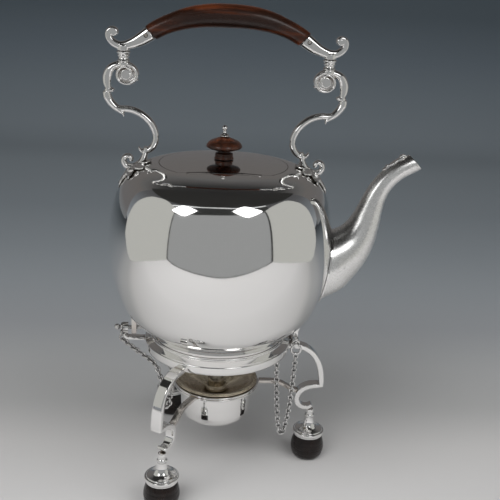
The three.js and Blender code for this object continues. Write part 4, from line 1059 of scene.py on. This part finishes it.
chainShape = {
    "pitch": 2.9, "radius": 1.7, "wire": 0.68, "stretch": 1.2,
    "chain_spout_side": [(60, -13.3, 95.4), (59.2, -14.4, 80), (57.6, -15.8, 55), (55, -16.8, 36),
        (52.4, -17.4, 29.6), (49.8, -17.8, 36), (47.4, -18, 55), (46, -18.2, 80), (45.3, -18.2, 93.2)],
    "chain_far_side": [(-73.3, -5.4, 103.4), (-69, -8.6, 101), (-60, -14.5, 97), (-52, -20, 94),
        (-46, -26, 91.5), (-42.5, -31, 86), (-40.3, -33.5, 76), (-38.8, -34.8, 65), (-36.6, -35, 61),
        (-34.8, -34.9, 66), (-34.4, -34.6, 80), (-34.5, -34.5, 93.2)],
}


def evenPoints(points, pitch):
    line = smoothLine(points, 0.4)
    even, left = [line[0]], pitch
    for a, c in zip(line, line[1:]):
        length = dist(a, c)
        while length > 0 and left <= length:
            a = tuple(m + (n - m) * left / length for m, n in zip(a, c))
            length = dist(a, c)
            even.append(a)
            left = pitch
        left -= length
    return even


def dressChain(name):
    c = chainShape
    places = [Vector(place) for place in evenPoints(c[name], c["pitch"])]
    links = []
    for i, place in enumerate(places):
        along = (places[min(i + 1, len(places) - 1)] - places[max(i - 1, 0)]).normalized()
        facing = (Vector((0, -1, 0)) + along * along.y).normalized()
        turn = Matrix((along, facing.cross(along), facing)).transposed().to_quaternion()
        twist = 0.2 * sin(1.7 * i) + quarter * (i % 2)
        link = loop("link", 'z', c["radius"], c["wire"], (0, 0, 0), around=14, across=6)
        link.scale = (c["stretch"], 1, 1)
        link.rotation_mode = 'QUATERNION'
        link.rotation_quaternion = turn @ Quaternion((1, 0, 0), twist)
        link.location = place
        bpy.ops.object.transform_apply()
        links.append(link)
    chain = finished(joined(name + "_links", *links), None, name, chainSilver, angle=0)
    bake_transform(chain)


stapleShape = {"radius": 2.6, "wire": 0.8, "z": 96.9}


def dressStaple(name, x, y):
    s = stapleShape
    staple = loop("staple", 'y', s["radius"], s["wire"], (0, 0, 0))
    openEdit(staple)
    bpy.ops.mesh.bisect(plane_co=(0, 0, 0), plane_no=(0, 0, 1), use_fill=True, clear_outer=True)
    closeEdit()
    faceOut(placeMesh(staple, move=(x, y, s["z"]), turnZ=atan2(y, x) + quarter))
    staple.name = name + "_bent"
    finished(staple, "stand", name, chainSilver)


dressHingeLugs()
dressLockLugs()
dressPins()
dressChain("chain_spout_side")
dressChain("chain_far_side")
dressStaple("chain_staple_spout_side", 45.3, -18.2)
dressStaple("chain_staple_far_side", -34.5, -34.5)
print("pins and chains done")

# Pieces that stay as the frame has them, out of sight inside the kettle
for name in ("lid_seat", "lid_hinge_pin", "knob_nut"):
    coated(bpy.data.objects[name], bracketSilver)


# Floor, backdrop and the studio that the silver mirrors. A card has its colour, its distance from the kettle in
# metres, and rows of degrees: round from the camera's side, low edge and high edge
wallLine = [
    (-50, -6, 26), (-45, -8, 27.5), (-39, -9.3, 29), (-27.6, -10.9, 31), (-16.7, -12, 33),
    (-4.3, -12.9, 34), (6, -12.7, 34.4), (17, -11.5, 34.5), (25, -10.3, 34.6), (35, -8.3, 34.8),
    (42, -6.8, 34.4), (46.5, -5.5, 34)]
pale, wallGrey, lineDark = (0.44, 0.44, 0.415), (0.285, 0.29, 0.29), (0.02, 0.02, 0.02)
studio = {
    "aim": (0, 0, 0.15), "middle": 0.17, "lampGlow": 3.0,
    "lamps": {
        "key": ((-0.7, -0.75, 1.25), 1.1, 13), "fill": ((1, -0.7, 1.1), 1.4, 9),
        "top": ((0.1, -0.75, 1.6), 2.4, 13)},
    "backStops": [(0, (0.155, 0.163, 0.168)), (0.1, (0.122, 0.117, 0.117)), (0.5, (0.117, 0.108, 0.103)),
        (0.6, (0.1, 0.098, 0.096)), (0.7, (0.07, 0.067, 0.066)), (0.82, (0.024, 0.0235, 0.023)),
        (1, (0.012, 0.0115, 0.011))],
    # Floor and sweep colours carry painted light falloff: lighter at the front, darker towards the back and up
    # the sweep
    "floorToneAndShadeStops": [(0, (0.66, 0.65, 0.645)), (0.053, (0.565, 0.557, 0.552)), (0.071, (0.53, 0.522, 0.515)),
        (0.092, (0.42, 0.42, 0.417)), (0.118, (0.395, 0.4, 0.403)), (0.15, (0.32, 0.333, 0.347)),
        (0.19, (0.295, 0.317, 0.335)), (0.24, (0.262, 0.288, 0.308)), (0.31, (0.24, 0.268, 0.29)),
        (0.42, (0.265, 0.298, 0.322)), (0.53, (0.245, 0.278, 0.304)), (0.61, (0.19, 0.222, 0.247)),
        (0.67, (0.142, 0.17, 0.195)), (0.71, (0.097, 0.119, 0.136)), (1, (0.045, 0.06, 0.072))],
    "skyStops": [(0, (0.35, 0.36, 0.37)), (0.25, (0.17, 0.185, 0.2)), (0.6, (0.085, 0.086, 0.09)),
        (1, (0.05, 0.048, 0.047))],
}
cards = {
    "card_left": (pale, 0.52, [
        (-104.5, -4, 1.5), (-102, -7, 9), (-98.5, -11.5, 19), (-95, -13.5, 26), (-89, -13.6, 35.6),
        (-80, -12.2, 40), (-72, -10.8, 41.3), (-63, -9.2, 39.5), (-49, -6.4, 33)]),
    "card_right": (pale, 0.52, [
        (47, -5.8, 36), (56, -7.2, 40), (65, -8.5, 42), (76, -10, 43), (85, -11.2, 41), (93, -11.8, 28),
        (98.5, -10.2, 12), (102, -4.5, 0)]),
    "front_wall": (wallGrey, 0.54, wallLine),
    "edge_left": (lineDark, 0.515, [(-50.2, -6, 30), (-49.1, -6, 30)]),
    "edge_right": (lineDark, 0.515, [(45.6, -5.6, 34), (47.4, -5.6, 34)]),
    "edge_low": (lineDark, 0.515, [(around, low - 0.2, low + 0.35) for around, low, high in wallLine]),
    "top_line": ((0.75, 0.76, 0.76), 0.55, [
        (-58, 35.5, 38), (-43, 40.4, 43), (-27, 42.8, 45.4), (-3.5, 45.4, 48), (20, 44.6, 47.2),
        (53, 43, 45.6)]),
    "under_top": ((0.022, 0.023, 0.022), 0.545, [
        (-56, 26, 36.5), (-28, 30, 43.6), (-4, 33, 46.2), (21, 33.4, 45.4), (53, 33, 43.8)]),
    "lamp_left": ((1, 1, 1), 0.51, [(-54, 30.2, 31), (-46.6, 28, 41.2), (-38, 27, 41), (-28, 37.2, 38.2)]),
    "lamp_right": ((1, 1, 1), 0.51, [(11, 40.4, 41.4), (23, 31, 48.6), (30, 31, 48), (43.5, 36, 37)]),
    "ceiling": ((0.013, 0.0125, 0.0115), 0.6, [
        (-112, 44, 88), (-60, 42, 88), (0, 48, 88), (60, 46, 88), (112, 44, 88)]),
    "back": (None, 1.3, [(112, -2, 89), (180, -2, 89), (248, -2, 89)]),
}
camera = {"at": (-38.36, -544.32, 360.63), "turn": (71.201, -2.611, -2.412), "lens": 55.51}


def placeCamera():
    lens = bpy.data.cameras.new("camera")
    lens.lens = camera["lens"]
    lens.clip_start = 0.01
    view = bpy.data.objects.new("camera", lens)
    bpy.context.collection.objects.link(view)
    view.location = [v * mm for v in camera["at"]]
    view.rotation_euler = [radians(v) for v in camera["turn"]]
    bpy.context.scene.camera = view


def colourRamp(tree, share, stops):
    ramp = node(tree, 'ValToRGB', {0: share})
    elements = ramp.color_ramp.elements
    elements.remove(elements[1])
    for at, colour in stops[1:]:
        elements.new(at).color = (*colour, 1)
    elements[0].position = stops[0][0]
    elements[0].color = (*stops[0][1], 1)
    return ramp.outputs["Color"]


def apart(tree, place):
    return node(tree, 'SeparateXYZ', {0: place}).outputs


# The sweep's colour ramps darker with distance and height: painted shading of light falling off across the
# paper
def sweepFinish():
    material, tree, shader = newMaterial("paper sweep")
    place = apart(tree, objectPlace(tree))
    far = mapRange(tree, place["Y"], -0.2, 1.6, 0.0, 0.6)
    share = maths(tree, 'ADD', far, mapRange(tree, place["Z"], 0.0, 1.1, 0.0, 0.4))
    fed(tree, shader, {"Base Color": colourRamp(tree, share, studio["floorToneAndShadeStops"]), "Roughness": 0.8,
                       "Specular IOR Level": 0.1})
    return material


def paperSweep():
    pickNothing()
    bpy.ops.mesh.primitive_plane_add(size=1)
    sweep = named("paper_sweep")
    placeMesh(sweep, move=(0, -0.1, 0), scale=(7, 2.6, 1))
    openEdit(sweep, 'DESELECT')
    bpy.ops.mesh.select_mode(type='EDGE')
    closeEdit()
    for edge in sweep.data.edges:
        edge.select = all(sweep.data.vertices[v].co.y > 1.0 for v in edge.vertices)
    bpy.ops.object.mode_set(mode='EDIT')
    bend, steps = 0.5, 16
    for i in range(steps):
        a, c = quarter * i / steps, quarter * (i + 1) / steps
        extrude(0, bend * (sin(c) - sin(a)), bend * (cos(a) - cos(c)))
    extrude(0, 0, 2.2)
    bpy.ops.mesh.select_mode(type='VERT')
    pick(sweep)
    bpy.ops.object.shade_smooth_by_angle(angle=radians(60))
    sweep.data.materials.append(sweepFinish())


# A glowing card that only reflections see
def card(name, colour, reach, rows, strength=1.0):
    middle = studio["middle"]
    material, tree, shader = newMaterial(name)
    if colour:
        glow = (*colour, 1)
    else:
        low = middle + reach * sin(radians(rows[0][1]))
        up = mapRange(tree, apart(tree, objectPlace(tree))["Z"], low, middle + reach)
        glow = colourRamp(tree, up, studio["backStops"])
    fed(tree, shader, {"Base Color": (0, 0, 0, 1), "Emission Color": glow, "Emission Strength": strength})
    line = smoothLine(rows, 3.0)
    columns = len(line) - 1
    pickNothing()
    bpy.ops.mesh.primitive_grid_add(x_subdivisions=columns, y_subdivisions=16, size=2)
    piece = named(name)
    for co in spots(piece):
        around, low, high = line[round((co.x + 1) / 2 * columns)]
        turn, tilt = radians(around - 90), radians(low + (high - low) * (co.y + 1) / 2)
        flat = reach * cos(tilt)
        co[:] = (axisX + flat * cos(turn), flat * sin(turn), middle + reach * sin(tilt))
    piece.data.materials.append(material)
    piece.visible_camera = piece.visible_diffuse = piece.visible_shadow = False


def lampLight(name, at, size, strength):
    light = bpy.data.lights.new(name, 'AREA')
    light.shape = 'DISK'
    light.size = size
    light.energy = strength
    piece = bpy.data.objects.new(name, light)
    bpy.context.collection.objects.link(piece)
    piece.location = at
    piece.rotation_euler = (Vector(studio["aim"]) - Vector(at)).to_track_quat('-Z', 'Y').to_euler()
    piece.visible_glossy = False


def skyLight():
    world = bpy.data.worlds.new("world")
    bpy.context.scene.world = world
    world.use_nodes = True
    tree = world.node_tree
    place = node(tree, 'TexCoord', {}).outputs["Generated"]
    height = mapRange(tree, apart(tree, place)["Z"], -0.2, 1.0)
    fed(tree, tree.nodes["Background"], {"Color": colourRamp(tree, height, studio["skyStops"])})


def buildStudio():
    placeCamera()
    paperSweep()
    for name, values in cards.items():
        card(name, *values, strength=studio["lampGlow"] if name.startswith("lamp") else 1.0)
    for name, values in studio["lamps"].items():
        lampLight(name, *values)
    skyLight()


buildStudio()
bpy.context.scene.view_settings.view_transform = 'Standard'
print("studio done")
